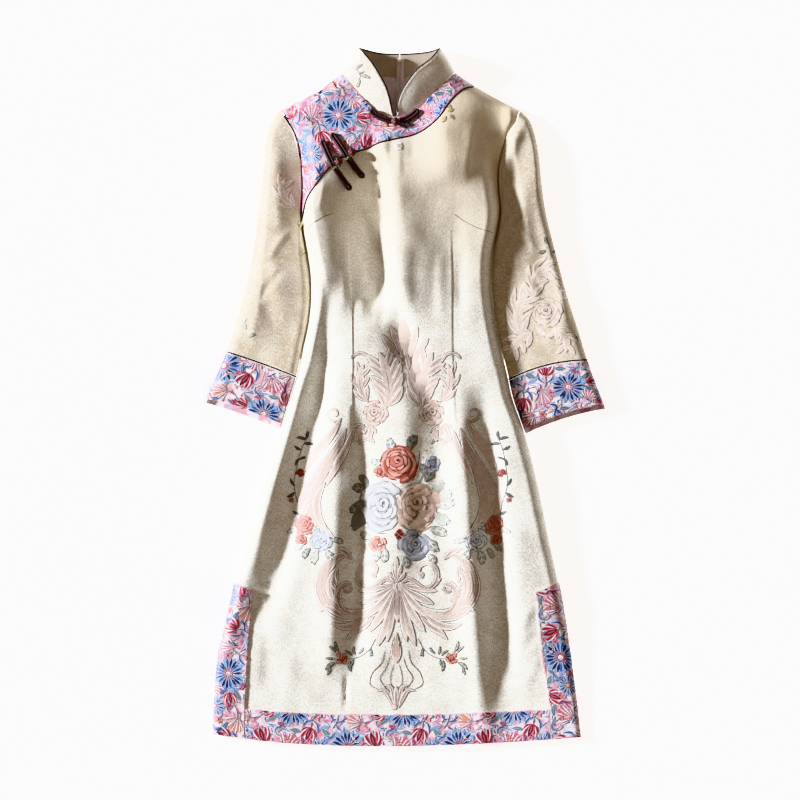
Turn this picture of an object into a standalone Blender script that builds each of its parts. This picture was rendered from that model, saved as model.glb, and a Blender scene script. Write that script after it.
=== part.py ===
# A knee-length cheongsam with three-quarter sleeves, laid flat on its back.
#
# Garment sizes are in millimetres: x runs across from the centre front, y runs up
# from the hem, z up from the surface that the dress lies on. The finished part is
# moved so that its origin is the middle of its underside.

import math
from collections import namedtuple

import bpy
import numpy as np
from mathutils import Vector
from mathutils.bvhtree import BVHTree

MM = 0.001

# Where the origin lies on the garment
CENTRE_X = 11.62
CENTRE_Y = 501.45

# Cloth and seams
CLOTH = 1.6  # jacquard with its backing
TRIM = 1.2  # floral bands
LINING = 1.0
SEAM = 0.6  # gap between two pieces at a plain seam
REST = 0.45  # gap under a piece that lies on another
FACING_GAP = 0.6
PIPE = 1.0  # radius of the corded piping
PIPED_SEAM = 2 * PIPE + 0.7  # gap that the piping fills
PIPE_SINK = 0.5  # depth of the cord's middle under the cloth's face
ARMHOLE_PIPING_FOOT = 850.0  # the frog hides the left armhole's cord below this level
ARMHOLE_PIPING_HEAD = 4.0  # distance that the cord stops below the shoulder

# Levels
FOLD_LIP = 2.8  # where the front turns under at a side seam
LOWEST_FACE = 4.6  # troughs level out above the back
SHOULDER_LIP = 3.0
SHOULDER_ROLL = 14.0
FRONT_CROWN = (1.02, 0.12)  # rise at the middle, and its loss at the sides, in rises
CENTRE_BACK = 4.0
BACK_INSET = 1.2  # the front turns under past the back's edge by this much
BACK_BAND_TOP = 49.0
BACK_BAND_FOOT = (-261.0, 262.0)
BACK_BAND_HEAD = (-260.0, 257.2)
BAND_SLANT = {"left": 12.0, "right": 14.0}  # fall of a side band's head towards the side

# The hem curves up to its corners: rise, half width and power of each side's curve
HEM_CURVE_LEFT = (17.0, 262.0, 2.6)
HEM_CURVE_RIGHT = (13.0, 263.0, 1.6)
HEM_CURVE_TOP = 200.0  # the rows are level from here up

# Grid of the front panel
ROLL_ANGLES = (0, 30, 60, 90)
BODICE_FOOT = 735.0  # the rows below are level, those above bend up to the yoke seam
MAIN_COLUMNS = 22
CORNER_COLUMN = 25  # the column that ends where the yoke seam meets the right shoulder
HEM_ROWS = (0, 16, 32, 46)
BAND_ROWS = (46, 78, 110, 142, 174, 206, 236)
SKIRT_ROWS = 25
BACK_ROWS = 22
BODICE_ROWS = 10
YOKE_ROWS = 8

# Side outline and rise of the front, a row for each level
Body = namedtuple("Body", "y left right rise roll lip square band_left band_right")
BODY = (
    Body(0, -262.5, 263.5, 6.5, 7, FOLD_LIP, 0.5, -218, 220),
    Body(50, -261.2, 258.5, 7.0, 8, FOLD_LIP, 0.5, -218, 219),
    Body(90, -259.3, 253.5, 9.0, 9, FOLD_LIP, 0.5, -216, 213),
    Body(135, -254.5, 247.5, 13, 11, FOLD_LIP, 0.5, -214, 207),
    Body(185, -242.5, 240.3, 17, 13, FOLD_LIP, 0.5, -210, 202),
    Body(236, -231.3, 231.0, 20, 14, FOLD_LIP, 0.5, -206, 198),
    Body(300, -213.8, 217.2, 22, 15, FOLD_LIP, 0.5, -186, 184),
    Body(355, -199.0, 206.3, 24, 16, FOLD_LIP, 0.5, -168, 172),
    Body(410, -181.0, 193.8, 26, 16, FOLD_LIP, 0.5, -148, 158),
    Body(455, -166.5, 181.0, 27, 16, FOLD_LIP, 0.5, -134, 145),
    Body(500, -153.0, 165.4, 28, 16, FOLD_LIP, 0.5, -121, 131),
    Body(540, -141.4, 156.6, 30, 16, FOLD_LIP, 0.5, -111, 122),
    Body(575, -134.4, 147.6, 31, 16, FOLD_LIP, 0.5, -104, 114),
    Body(606, -127.6, 141.2, 32, 16, FOLD_LIP, 0.5, -98, 108),
    Body(640, -123.8, 136.9, 34, 16, FOLD_LIP, 0.5, -94, 104),
    Body(676, -124.9, 135.7, 36, 17, FOLD_LIP, 0.5, -95, 103),
    Body(718, -131.2, 139.1, 39, 18, FOLD_LIP, 0.5, -100, 106),
    Body(742, -135.1, 144.1, 40, 18, 3.2, 0.5, -103, 110),
    Body(766, -137.4, 147.7, 40, 19, 6.0, 0.6, -103, 112),
    Body(802, -135.5, 144.8, 39, 20, 11, 0.8, -103, 112),
    Body(825, -136.2, 144.5, 37, 22, 13, 1.0, -103, 112),
    Body(855, -138.4, 150.0, 33, 24, 14, 1.0, -103, 112),
    Body(871, -142.7, 155.2, 30, 24, 14, 1.0, -103, 112),
    Body(884, -147.7, 162.0, 28, 24, 13, 1.0, -103, 112),
    Body(895, -154.6, 170.2, 26, 24, 12, 1.0, -103, 112),
    Body(911, -165.9, 175.8, 24, 24, 9, 1.0, -103, 112),
    Body(935, -205.0, 215.0, 22, 24, 9, 1.0, -103, 112),
    Body(970, -260.0, 270.0, 20, 24, 9, 1.0, -103, 112),
)

# Folds of the front: each runs from its head through its middle to its foot
Fold = namedtuple("Fold", "head_x head_y mid_x mid_y foot_x foot_y depth left right")
FRONT_FOLDS = (
    Fold(-28, 872, -24, 741, -42, 600, -15.0, 44, 10),  # from the bust down beside the dart
    Fold(6, 850, 10, 726, 6, 590, 4.0, 18, 36),
    Fold(62, 925, 60, 860, 52, 780, 3.5, 30, 34),
    Fold(-96, 585, -133, 425, -203, 150, -14.0, 25, 17),  # valley inside the left edge
    Fold(-128, 575, -169, 425, -218, 190, 4.0, 14, 14),
    Fold(-92, 530, -89, 353, -88, 130, 9.0, 24, 17),
    Fold(-49, 515, -47, 340, -44, 140, -10.0, 17, 16),
    Fold(9, 570, 8, 382, 5, 205, 11.0, 27, 22),
    Fold(60, 550, 62, 430, 57, 290, -10.0, 20, 16),
    Fold(96, 520, 104, 300, 120, 75, 9.0, 20, 20),
    Fold(151, 490, 152, 239, 148, 52, -14.0, 27, 18),  # the deepest, beside the right band
    Fold(180, 360, 184, 210, 180, 75, 5.0, 14, 22),
)
SLEEVE_FOLDS = (
    Fold(182, 903, 168, 870, 150, 800, 4.5, 7, 10),  # ridge beside the right sleeve cap
    Fold(196, 800, 205, 715, 232, 620, -3.0, 16, 18),
    Fold(240, 660, 238, 620, 232, 575, 3.0, 12, 12),
    Fold(-176, 880, -172, 800, -168, 720, 3.0, 12, 14),
    Fold(-196, 720, -190, 660, -180, 590, -3.5, 16, 14),
)

# Outlines drawn as curves through these points
YOKE_LINE = (
    (-136.0, 757.0), (-129.5, 785.1), (-116.2, 806.6), (-99.4, 827.7), (-75.6, 846.8),
    (-41.6, 858.2), (-22.4, 866.9), (-0.9, 871.6), (30.1, 879.9), (45.5, 889.5),
    (60.9, 903.7), (71.7, 919.2), (82.3, 932.2), (97.5, 943.6), (111.9, 946.6),
)
LEFT_SHOULDER = ((-165.9, 911.8), (-139.8, 925.2), (-111.3, 940.0), (-78.9, 965.0))
RIGHT_SHOULDER = ((175.8, 911.0), (137.7, 931.4), (111.9, 946.6), (83.2, 966.0))
LEFT_NECK = (
    (-3.0, 903.0), (-21.1, 906.0), (-36.6, 916.2), (-49.6, 931.1), (-64.0, 947.8),
    (-78.9, 965.0),
)
RIGHT_NECK = (
    (-3.0, 903.0), (15.8, 905.8), (31.1, 914.5), (45.5, 930.0), (60.9, 945.3),
    (83.2, 966.0),
)
YOKE_MIDDLE = (-99.4, 827.7)  # on the yoke seam, opposite the left side of the neck
YOKE_CENTRE = (-0.9, 871.6)
YOKE_CORNER = 765.0  # level of the yoke's lowest point, on the left armhole

# Stand collar: each half goes from the centre front round its side to the zip
COLLAR_ROLL = 12.0
COLLAR_BASE_RISE = 21.0
COLLAR_TOP_RISE = 38.0
COLLAR_BACK_BASE = 0.3
COLLAR_BACK_TOP = 2.0
COLLAR_BULGE = 1.6
COLLAR_SAMPLES = 8
COLLAR_FRONT_RISE = 4.0  # rise of the leaf at the centre front, where the halves meet
COLLAR_OVERLAP = 2.6  # distance of each half's end from the neck's lowest point
LEFT_LEAF = (
    (-8.3, 909.0), (-10.8, 925.0), (-15.8, 942.8), (-25.8, 961.9), (-37.7, 980.9),
    (-55.6, 1001.5),
)
RIGHT_LEAF = (
    (1.9, 909.0), (2.4, 922.7), (7.0, 937.1), (18.1, 956.0), (30.1, 970.6),
    (47.9, 984.0), (63.0, 1001.0),
)
LEFT_BACK_NECK = ((-78.9, 965.0), (-53.0, 960.0), (-20.0, 957.6), (CENTRE_BACK, 957.0))
RIGHT_BACK_NECK = ((83.2, 966.0), (61.7, 960.2), (30.0, 957.6), (CENTRE_BACK, 957.0))
LEFT_BACK_TOP = ((-55.6, 1001.5), (-42.0, 997.0), (-26.0, 993.2), (CENTRE_BACK, 991.5))
RIGHT_BACK_TOP = ((63.0, 1001.0), (50.0, 996.0), (32.0, 993.2), (CENTRE_BACK, 991.5))

# Sleeves: a row for each ring, from the armhole down to the cuff seam
Ring = namedtuple("Ring", "outer_x outer_y inner_y rise bow")
LEFT_SLEEVE = (
    Ring(-167.5, 912.0, 762, 14, 1.0),
    Ring(-181.0, 889.0, 756, 15, 0.8),
    Ring(-188.6, 849.0, 745, 16, 0.55),
    Ring(-194.5, 796.0, 728, 17, 0.3),
    Ring(-201.5, 740.0, 704, 18, 0.1),
    Ring(-210.0, 687.0, 668, 18, 0.0),
    Ring(-221.0, 640.0, 625, 18, 0.0),
    Ring(-232.6, 600.0, 578, 18, 0.0),
    Ring(-243.6, 567.2, 532, 16, -0.02),
)
RIGHT_SLEEVE = (
    Ring(177.6, 911.6, 757, 14, 1.0),
    Ring(192.6, 893.0, 751, 15, 0.8),
    Ring(202.5, 855.0, 741, 16, 0.55),
    Ring(207.5, 808.0, 726, 17, 0.3),
    Ring(213.8, 765.0, 708, 18, 0.1),
    Ring(226.0, 715.0, 680, 18, 0.0),
    Ring(242.5, 652.0, 635, 18, 0.0),
    Ring(260.0, 597.0, 575, 17, 0.0),
    Ring(272.4, 555.8, 528, 16, -0.1),
)
LEFT_CUFF = (
    Ring(-244.5, 564.6, 528.6, 16.5, -0.02),
    Ring(-258.8, 531.0, 495, 16, -0.03),
    Ring(-273.0, 499.4, 462, 14, -0.03),
)
RIGHT_CUFF = (
    Ring(273.6, 552.9, 525, 16.5, -0.1),
    Ring(284.6, 522.0, 490, 16, -0.08),
    Ring(296.5, 491.0, 455, 14, -0.06),
)
ARMHOLE_HEAD = 911.5
SLEEVE_ROLL = 0.75  # width of a sleeve's rolled edge, in rises
SLEEVE_MIDDLE = 0.45  # height of its edge, in rises
SLEEVE_RINGS = 17
CUFF_RINGS = 5
CUFF_BACK_DROP = 7.0  # how far the back of a cuff shows below its front

# Frogs of rolled satin cord: the line that each runs along, top to bottom
FROG_REST = 0.6
FROG_WIDTH = 7.5
FROG_HEIGHT = 3.2
KNOT_RADIUS = 5.2
KNOT_FLATNESS = 0.8
FROG_A_UPPER = ((-107.5, 869.0), (-100.5, 852.5), (-91.0, 832.5))
FROG_A_LOWER = ((-87.2, 825.6), (-79.0, 814.0), (-66.0, 799.0))
FROG_A_KNOT = ((-85.0, 842.5), (-82.9, 833.8))
FROG_B_UPPER = ((-93.5, 878.5), (-83.0, 864.0), (-71.5, 846.0))
FROG_B_LOWER = ((-67.8, 840.0), (-60.5, 829.5), (-49.0, 817.0))
FROG_B_KNOT = ((-65.6, 857.0), (-63.6, 848.2))
NECK_FROG_LEFT = ((-38.0, 912.5), (-27.0, 903.8), (-17.0, 899.4), (-8.5, 897.4))
NECK_FROG_RIGHT = ((4.0, 897.6), (12.0, 899.8), (21.0, 905.0), (30.0, 912.6))
NECK_KNOT = ((-2.2, 899.5), (-2.2, 893.0))

# Zip at the centre back
ZIP_X = 5.0
ZIP_WIDTH = 11.0
ZIP_FOOT = 450.0
ZIP_TOP = 987.0
LINING_TOP = 954.0
LINING_FOOT = 884.0
LINING_HALF_WIDTH = 52.0
LINING_SHIFT = 12.0  # the tape climbs onto the lining over this distance
ZIP_CLIMB = 1.6  # and inside the collar it rises by this much
TEETH = 0.5  # rise of the closed coil along the tape's middle
SLIDER_GAP = 1.0
SLIDER_HEIGHT = 2.6
# Outline of the slider, from the tape's middle and top end
SLIDER = ((-3.0, -8.0), (3.0, -8.0), (3.6, -3.0), (2.4, 0.0), (-2.4, 0.0), (-3.6, -3.0))


def smooth(stations, values, at):
    """Cubic curve through a table's column, read at any station."""
    stations = np.asarray(stations, float)
    values = np.asarray(values, float)
    slopes = np.gradient(values, stations)
    at = np.clip(at, stations[0], stations[-1])
    low = np.clip(np.searchsorted(stations, at) - 1, 0, len(stations) - 2)
    step = stations[low + 1] - stations[low]
    t = (at - stations[low]) / step
    return (
        values[low] * (2 * t**3 - 3 * t**2 + 1)
        + slopes[low] * step * (t**3 - 2 * t**2 + t)
        + values[low + 1] * (3 * t**2 - 2 * t**3)
        + slopes[low + 1] * step * (t**3 - t**2)
    )


def body(column, y):
    return smooth([row.y for row in BODY], [getattr(row, column) for row in BODY], y)


def curve_points(points, at):
    """Points on a smooth outline at fractions of its length."""
    points = np.array(points, float)
    run = np.r_[0, np.cumsum(np.hypot(*np.diff(points, axis=0).T))]
    at = np.asarray(at, float) * run[-1]
    return np.stack([smooth(run, points[:, 0], at), smooth(run, points[:, 1], at)], axis=-1)


def distance_to(points, x, y):
    """Plan distance from each place to a line of points."""
    nearest = np.full(np.broadcast(x, y).shape, np.inf)
    for (x0, y0), (x1, y1) in zip(points[:-1], points[1:]):
        run = (x1 - x0) ** 2 + (y1 - y0) ** 2
        t = np.clip(((x - x0) * (x1 - x0) + (y - y0) * (y1 - y0)) / run, 0, 1)
        gap = np.hypot(x - x0 - t * (x1 - x0), y - y0 - t * (y1 - y0))
        nearest = np.minimum(nearest, gap)
    return nearest


def quarter_round(reach, square=0.5):
    """Rise of a rolled edge: 0 at the edge, 1 past the roll."""
    reach = np.clip(reach, 0, 1)
    return (1 - (1 - reach) ** 2) ** square


def folds_at(folds, x, y):
    rise = np.zeros(np.broadcast(x, y).shape)
    for fold in folds:
        length = fold.head_y - fold.foot_y
        t = (fold.head_y - y) / length
        middle = (fold.head_y - fold.mid_y) / length
        line = (
            fold.head_x * (t - middle) * (t - 1) / middle
            + fold.mid_x * t * (t - 1) / (middle * (middle - 1))
            + fold.foot_x * t * (t - middle) / (1 - middle)
        )
        off = x - line
        width = np.where(off < 0, fold.left, fold.right)
        ends = np.clip(np.minimum(t, 1 - t) / 0.3, 0, 1)
        rise += fold.depth * np.exp(-((off / width) ** 2)) * ends * ends * (3 - 2 * ends)
    return rise


def front_height(x, y, reach=None):
    """Height of the front's face. Reach is the distance in from the side, in rolls."""
    left, right = body("left", y), body("right", y)
    if reach is None:
        reach = np.minimum(x - left, right - x) / body("roll", y)
    across = (x - (left + right) / 2) / ((right - left) / 2)
    crown, loss = FRONT_CROWN
    top = body("rise", y) * (crown - loss * np.clip(across, -1, 1) ** 2)
    top = top + folds_at(FRONT_FOLDS, x, y)
    top = LOWEST_FACE + 2 * np.logaddexp(0, (top - LOWEST_FACE) / 2)
    lip = body("lip", y)
    side = lip + (top - lip) * quarter_round(reach, body("square", y))
    shoulder = np.minimum(distance_to(LEFT_SHOULDER, x, y), distance_to(RIGHT_SHOULDER, x, y))
    return SHOULDER_LIP + (side - SHOULDER_LIP) * quarter_round(shoulder / SHOULDER_ROLL)


def hem_lift(x, y):
    """The hem curves up towards its corners, and the rows above it follow less and less."""
    rises = [
        rise * (np.abs(x) / half_width) ** power
        for rise, half_width, power in (HEM_CURVE_LEFT, HEM_CURVE_RIGHT)
    ]
    return np.where(x < 0, *rises) * np.clip(1 - y / HEM_CURVE_TOP, 0, 1)


def new_object(name, verts, faces, finish):
    """A mesh object with its faces turned outwards, moved to the part's own origin."""
    verts = np.array(verts, float)
    volume = 0.0
    for face in faces:
        fan = [verts[i] for i in face]
        for a, b in zip(fan[1:-1], fan[2:]):
            volume += np.dot(fan[0], np.cross(a, b))
    if volume < 0:
        faces = [face[::-1] for face in faces]
    verts = (verts - (CENTRE_X, CENTRE_Y, 0)) * MM
    mesh = bpy.data.meshes.new(name)
    mesh.from_pydata(verts.tolist(), [], faces)
    mesh.shade_smooth()
    mesh.set_sharp_from_angle(angle=math.radians(50))
    obj = bpy.data.objects.new(name, mesh)
    bpy.context.scene.collection.objects.link(obj)
    obj.data.materials.append(material(name, *finish))
    return obj


def material(name, colour, roughness):
    made = bpy.data.materials.new(name)
    made.use_nodes = True
    shader = made.node_tree.nodes["Principled BSDF"]
    shader.inputs["Base Color"].default_value = (*colour, 1)
    shader.inputs["Roughness"].default_value = roughness
    shader.inputs["Metallic"].default_value = 0.0
    return made


IVORY = ((0.80, 0.74, 0.62), 0.6)
FLORAL = ((0.62, 0.45, 0.55), 0.6)
CORD = ((0.06, 0.012, 0.015), 0.45)
SATIN = ((0.25, 0.18, 0.12), 0.35)
MAUVE = ((0.33, 0.23, 0.23), 0.7)
TAPE = ((0.45, 0.38, 0.36), 0.7)
ZIP_METAL = ((0.75, 0.72, 0.66), 0.4)


def grid_normals(grid, wrap=False):
    """Normals of a grid of points, one that closes on itself across if wrap is set."""
    down = np.gradient(grid, axis=0)
    if wrap:
        across = np.roll(grid, -1, axis=1) - np.roll(grid, 1, axis=1)
    else:
        across = np.gradient(grid, axis=1)
    normals = np.cross(across, down)
    return normals / np.linalg.norm(normals, axis=2, keepdims=True)


def upward(grid, wrap=False):
    """Normals turned so that they point up on the first column, which is on the face."""
    normals = grid_normals(grid, wrap)
    return normals if normals[:, grid.shape[1] // 4, 2].mean() > 0 else -normals


def quads(rows, columns, start=0, wrap=False):
    """Faces of a grid whose points are numbered row by row."""
    faces = []
    for row in range(rows - 1):
        for column in range(columns if wrap else columns - 1):
            after = (column + 1) % columns
            here, above = start + row * columns, start + (row + 1) * columns
            faces.append((here + column, here + after, above + after, above + column))
    return faces


def cloth_wall(name, grid, thickness, finish, normals=None, wrap=False):
    """A wall of cloth whose face is the grid and whose back is the grid moved in."""
    if normals is None:
        normals = upward(grid, wrap)
    back = grid - normals * thickness
    rows, columns = grid.shape[:2]
    size = rows * columns
    verts = np.concatenate([grid.reshape(-1, 3), back.reshape(-1, 3)])
    faces = quads(rows, columns, 0, wrap)
    faces += [face[::-1] for face in quads(rows, columns, size, wrap)]
    top = (rows - 1) * columns
    for column in range(columns if wrap else columns - 1):
        after = (column + 1) % columns
        faces.append((after, column, size + column, size + after))
        faces.append((top + column, top + after, size + top + after, size + top + column))
    if not wrap:
        for row in range(rows - 1):
            here, above = row * columns, (row + 1) * columns
            end, end_above = here + columns - 1, above + columns - 1
            faces.append((here, above, size + above, size + here))
            faces.append((end_above, end, size + end, size + end_above))
    return new_object(name, verts, faces, finish)


def cord(name, points, radius, finish, closed=False):
    """A round cord along a line of points."""
    curve = bpy.data.curves.new(name, "CURVE")
    curve.dimensions = "3D"
    curve.bevel_depth = radius * MM
    curve.bevel_resolution = 1
    curve.use_fill_caps = True
    spline = curve.splines.new("POLY")
    spline.points.add(len(points) - 1)
    for place, point in zip(spline.points, points):
        place.co = (*((np.array(point) - (CENTRE_X, CENTRE_Y, 0)) * MM), 1)
    spline.use_cyclic_u = closed
    obj = bpy.data.objects.new(name, curve)
    bpy.context.scene.collection.objects.link(obj)
    curve.materials.append(material(name, *finish))
    return obj


def solid_loft(name, rings, finish):
    """A solid through closed rings of points, capped at both ends."""
    rings = np.array(rings, float)
    count, around = rings.shape[:2]
    faces = quads(count, around, 0, wrap=True)
    faces.append(tuple(range(around))[::-1])
    faces.append(tuple((count - 1) * around + i for i in range(around)))
    return new_object(name, rings.reshape(-1, 3), faces, finish)


def slab(name, outline, low, high, finish):
    """A flat piece cut to an outline."""
    count = len(outline)
    verts = [(*place, low) for place in outline] + [(*place, high) for place in outline]
    faces = [tuple(range(count))[::-1], tuple(range(count, 2 * count))]
    faces += [(i, (i + 1) % count, count + (i + 1) % count, count + i) for i in range(count)]
    return new_object(name, verts, faces, finish)


def column_places(y):
    """(x, reach) of the panel's columns at a level: both rolled edges, both band lines."""
    roll = body("roll", y)
    steps = 1 - np.cos(np.radians(ROLL_ANGLES))
    left = body("left", y + hem_lift(body("left", y), y))
    right = body("right", y + hem_lift(body("right", y), y))
    band_left, band_right = body("band_left", y), body("band_right", y)
    between_left = (left + roll + band_left) / 2
    between_right = (right - roll + band_right) / 2
    main = np.linspace(band_left, band_right, MAIN_COLUMNS + 1)
    x = np.r_[left + roll * steps, between_left, main, between_right]
    x = np.r_[x, right - roll * steps[::-1]]
    reach = np.ones(len(x))
    reach[: len(steps)] = steps
    reach[-len(steps):] = steps[::-1]
    return x, reach


BAND_COLUMN = len(ROLL_ANGLES) + 1  # index of the left band's inner line


def level_rows(levels):
    rows = []
    for level in levels:
        x, reach = column_places(level)
        y = level + hem_lift(x, level)
        rows.append(np.stack([x, y, front_height(x, y, reach)], axis=-1))
    return np.array(rows)


def moved_across(line, distance):
    """A plan line moved to its left by a distance."""
    along = np.gradient(line, axis=0)
    along /= np.linalg.norm(along, axis=1, keepdims=True)
    return line + distance * np.stack([-along[:, 1], along[:, 0]], axis=-1)


def yoke_seam():
    """Plan points of the yoke seam, one for each column that ends on it."""
    x, _ = column_places(BODICE_FOOT)
    at = (x[: CORNER_COLUMN + 1] - x[0]) / (x[CORNER_COLUMN] - x[0])
    return curve_points(YOKE_LINE, at)


def patch(foot, head, left_side, right_side, rows):
    """Plan grid between four edges: foot and head lines, and two side functions of 0 to 1."""
    across = np.linalg.norm(np.diff(foot, axis=0), axis=1)
    u = np.r_[0, np.cumsum(across)] / across.sum()
    grid = []
    for t in np.linspace(0, 1, rows + 1):
        line = (1 - t) * foot + t * head
        left_off = left_side(t) - line[0]
        right_off = right_side(t) - line[-1]
        grid.append(line + np.outer(1 - u, left_off) + np.outer(u, right_off))
    return np.array(grid)


def with_height(plan, left_edge, right_edge):
    """Front heights over a plan grid, with the columns on an armhole at its lip."""
    x, y = plan[..., 0], plan[..., 1]
    reach = np.minimum(x - body("left", y), body("right", y) - x) / body("roll", y)
    reach = np.clip(reach, 0, 1)
    if left_edge:
        reach[:, 0] = 0
    if right_edge:
        reach[:, -1] = 0
    return np.concatenate([plan, front_height(x, y, reach)[..., None]], axis=-1)


def bodice_rows():
    """Rows from the bust up to the yoke seam and the right shoulder."""
    x, _ = column_places(BODICE_FOOT)
    foot = np.stack([x, np.full(len(x), BODICE_FOOT)], axis=-1)
    seam = moved_across(yoke_seam(), -PIPED_SEAM / 2)
    at = (x[CORNER_COLUMN:] - x[CORNER_COLUMN]) / (x[-1] - x[CORNER_COLUMN])
    shoulder = curve_points(RIGHT_SHOULDER[::-1][1:], at)
    seam[-1] = shoulder[0] + (0.9, -2.2)
    head = np.concatenate([seam, shoulder[1:]])
    head[0, 0] = body("left", head[0, 1])

    def left_side(t):
        y = BODICE_FOOT + t * (head[0, 1] - BODICE_FOOT)
        return np.array([body("left", y), y])

    def right_side(t):
        y = BODICE_FOOT + t * (head[-1, 1] - BODICE_FOOT)
        return np.array([body("right", y), y])

    return with_height(patch(foot, head, left_side, right_side, BODICE_ROWS), True, True)


def make_front():
    skirt = np.linspace(BAND_ROWS[-1], BODICE_FOOT, SKIRT_ROWS + 1)[1:-1]
    low = level_rows(HEM_ROWS[:-1] + BAND_ROWS + tuple(skirt))
    cloth_wall("front_panel", np.concatenate([low, bodice_rows()]), CLOTH, IVORY)


def make_yoke():
    foot = moved_across(yoke_seam(), PIPED_SEAM / 2)
    foot[0] = body("left", YOKE_CORNER), YOKE_CORNER
    foot[1] = (foot[0] + foot[2]) / 2
    foot[-1] = np.array(RIGHT_SHOULDER[2]) + (-1.4, 1.0)
    length = np.r_[0, np.cumsum(np.hypot(*np.diff(foot, axis=0).T))]
    side = int(np.argmin(np.linalg.norm(foot - YOKE_MIDDLE, axis=1)))
    centre = int(np.argmin(np.linalg.norm(foot - YOKE_CENTRE, axis=1)))

    def share(first, last):
        return (length[first : last + 1] - length[first]) / (length[last] - length[first])

    head = np.concatenate([
        curve_points(LEFT_SHOULDER, share(0, side)),
        curve_points(LEFT_NECK[::-1], share(side, centre))[1:],
        curve_points(RIGHT_NECK, share(centre, len(foot) - 1))[1:],
    ])

    def left_side(t):
        y = foot[0, 1] + t * (head[0, 1] - foot[0, 1])
        return np.array([body("left", y), y])

    def right_side(t):
        return (1 - t) * foot[-1] + t * head[-1]

    grid = with_height(patch(foot, head, left_side, right_side, YOKE_ROWS), True, False)
    cloth_wall("yoke", grid, CLOTH, FLORAL)
    seam = yoke_seam()[1:-1]
    reach = (seam[:, 0] - body("left", seam[:, 1])) / body("roll", seam[:, 1])
    height = front_height(seam[:, 0], seam[:, 1], np.clip(reach, 0, 1)) - PIPE_SINK
    cord("yoke_piping", np.c_[seam, height], PIPE, CORD)
    edge = grid[:, 0]
    line = moved_across(edge[:, :2], PIPED_SEAM / 2)
    head = edge[-1, 1] - ARMHOLE_PIPING_HEAD
    piped = (edge[:, 1] > ARMHOLE_PIPING_FOOT) & (edge[:, 1] < head)
    line = np.c_[line, edge[:, 2] - PIPE_SINK]
    cord("armhole_piping_left", line[piped], PIPE, CORD)


def make_bands():
    hem = level_rows(HEM_ROWS)
    band = level_rows(HEM_ROWS[:-1] + BAND_ROWS)
    inner = BAND_COLUMN
    for name, grid in (
        ("side_band_left", band[:, : inner + 1]),
        ("side_band_right", band[:, -inner - 1 :]),
        ("hem_band_front", hem[:, inner : len(hem[0]) - inner]),
    ):
        normals = upward(grid)
        lifted = grid + normals * (REST + TRIM)
        if name == "hem_band_front":
            lifted[:, 0, 0] += SEAM
            lifted[:, -1, 0] -= SEAM
        else:
            side = name.removeprefix("side_band_")
            seam = inner if side == "left" else 0
            run = np.abs(lifted[-1, :, 0] - lifted[-1, seam, 0])
            lifted[-1, :, 1] += BAND_SLANT[side] * (run / run.max() - 1)
        cloth_wall(name, lifted, TRIM, FLORAL, normals)


def back_outline(side):
    """Outline of half the back, from the centre back at the hem, anticlockwise if side is 1."""
    column = "right" if side > 0 else "left"
    shoulder = RIGHT_SHOULDER if side > 0 else LEFT_SHOULDER
    neck = RIGHT_BACK_NECK if side > 0 else LEFT_BACK_NECK
    levels = np.r_[np.linspace(60, 742, BACK_ROWS), np.linspace(766, 905, 9)]
    seam = CENTRE_BACK + side * SEAM / 2
    edge = np.c_[body(column, levels) - side * BACK_INSET, levels]
    foot_x = np.linspace(seam, edge[0, 0], 6)
    foot = np.c_[foot_x, hem_lift(foot_x, BACK_BAND_TOP) + BACK_BAND_TOP]
    slope = curve_points(shoulder, np.linspace(0.04, 1, 5)) - (0, BACK_INSET)
    top = curve_points(neck, np.linspace(0, 1, 5))[1:] - (0, BACK_INSET)
    top[-1, 0] = seam
    return np.concatenate([foot, edge[1:], slope, top])


def make_back():
    slab("back_right", back_outline(1), 0, CLOTH, IVORY)
    slab("back_left", back_outline(-1)[::-1], 0, CLOTH, IVORY)
    across = np.linspace(*BACK_BAND_FOOT, 13)
    foot = np.c_[across, hem_lift(across, 0) + BACK_INSET]
    head = np.c_[across, hem_lift(across, BACK_BAND_TOP) + BACK_BAND_TOP - SEAM]
    head[[0, -1], 0] = BACK_BAND_HEAD
    slab("hem_band_back", np.concatenate([foot, head[::-1]]), 0, CLOTH, FLORAL)
    sides = (ZIP_X - LINING_HALF_WIDTH, ZIP_X + LINING_HALF_WIDTH)
    corners = [(sides[0], LINING_FOOT), (sides[1], LINING_FOOT), (sides[1], LINING_TOP),
               (ZIP_X, LINING_TOP - 1.5), (sides[0], LINING_TOP)]
    low = CLOTH + REST
    slab("lining_back_neck", corners, low, low + LINING, MAUVE)


def make_zip():
    """Tape of the concealed zip: on the back, over the lining, then up inside the collar."""
    under = CLOTH + REST
    over = under + LINING + REST
    climb, climbed = LINING_FOOT - LINING_SHIFT, LINING_FOOT - LINING_SHIFT / 3
    stations = (ZIP_FOOT, climb, climbed, 925, ZIP_TOP)
    levels = (under, under, over, over, over + ZIP_CLIMB)
    y = np.r_[np.linspace(ZIP_FOOT, climb, 6), climbed, np.linspace(900, ZIP_TOP, 6)]
    top = np.interp(y, stations, levels) + LINING
    x = ZIP_X + ZIP_WIDTH * np.array([-0.5, -0.12, 0.12, 0.5])
    teeth = TEETH * np.array([0, 1, 1, 0])
    grid = np.stack([np.broadcast_to(x, (len(y), 4)), np.broadcast_to(y[:, None], (len(y), 4)),
                     top[:, None] + teeth], axis=-1)
    cloth_wall("zip_tape", grid, LINING, TAPE, np.broadcast_to((0, 0, 1.0), grid.shape))
    low = top[-1] + SLIDER_GAP
    outline = [(ZIP_X + across, ZIP_TOP + up) for across, up in SLIDER]
    slab("zip_slider", outline, low, low + SLIDER_HEIGHT, ZIP_METAL)


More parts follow.
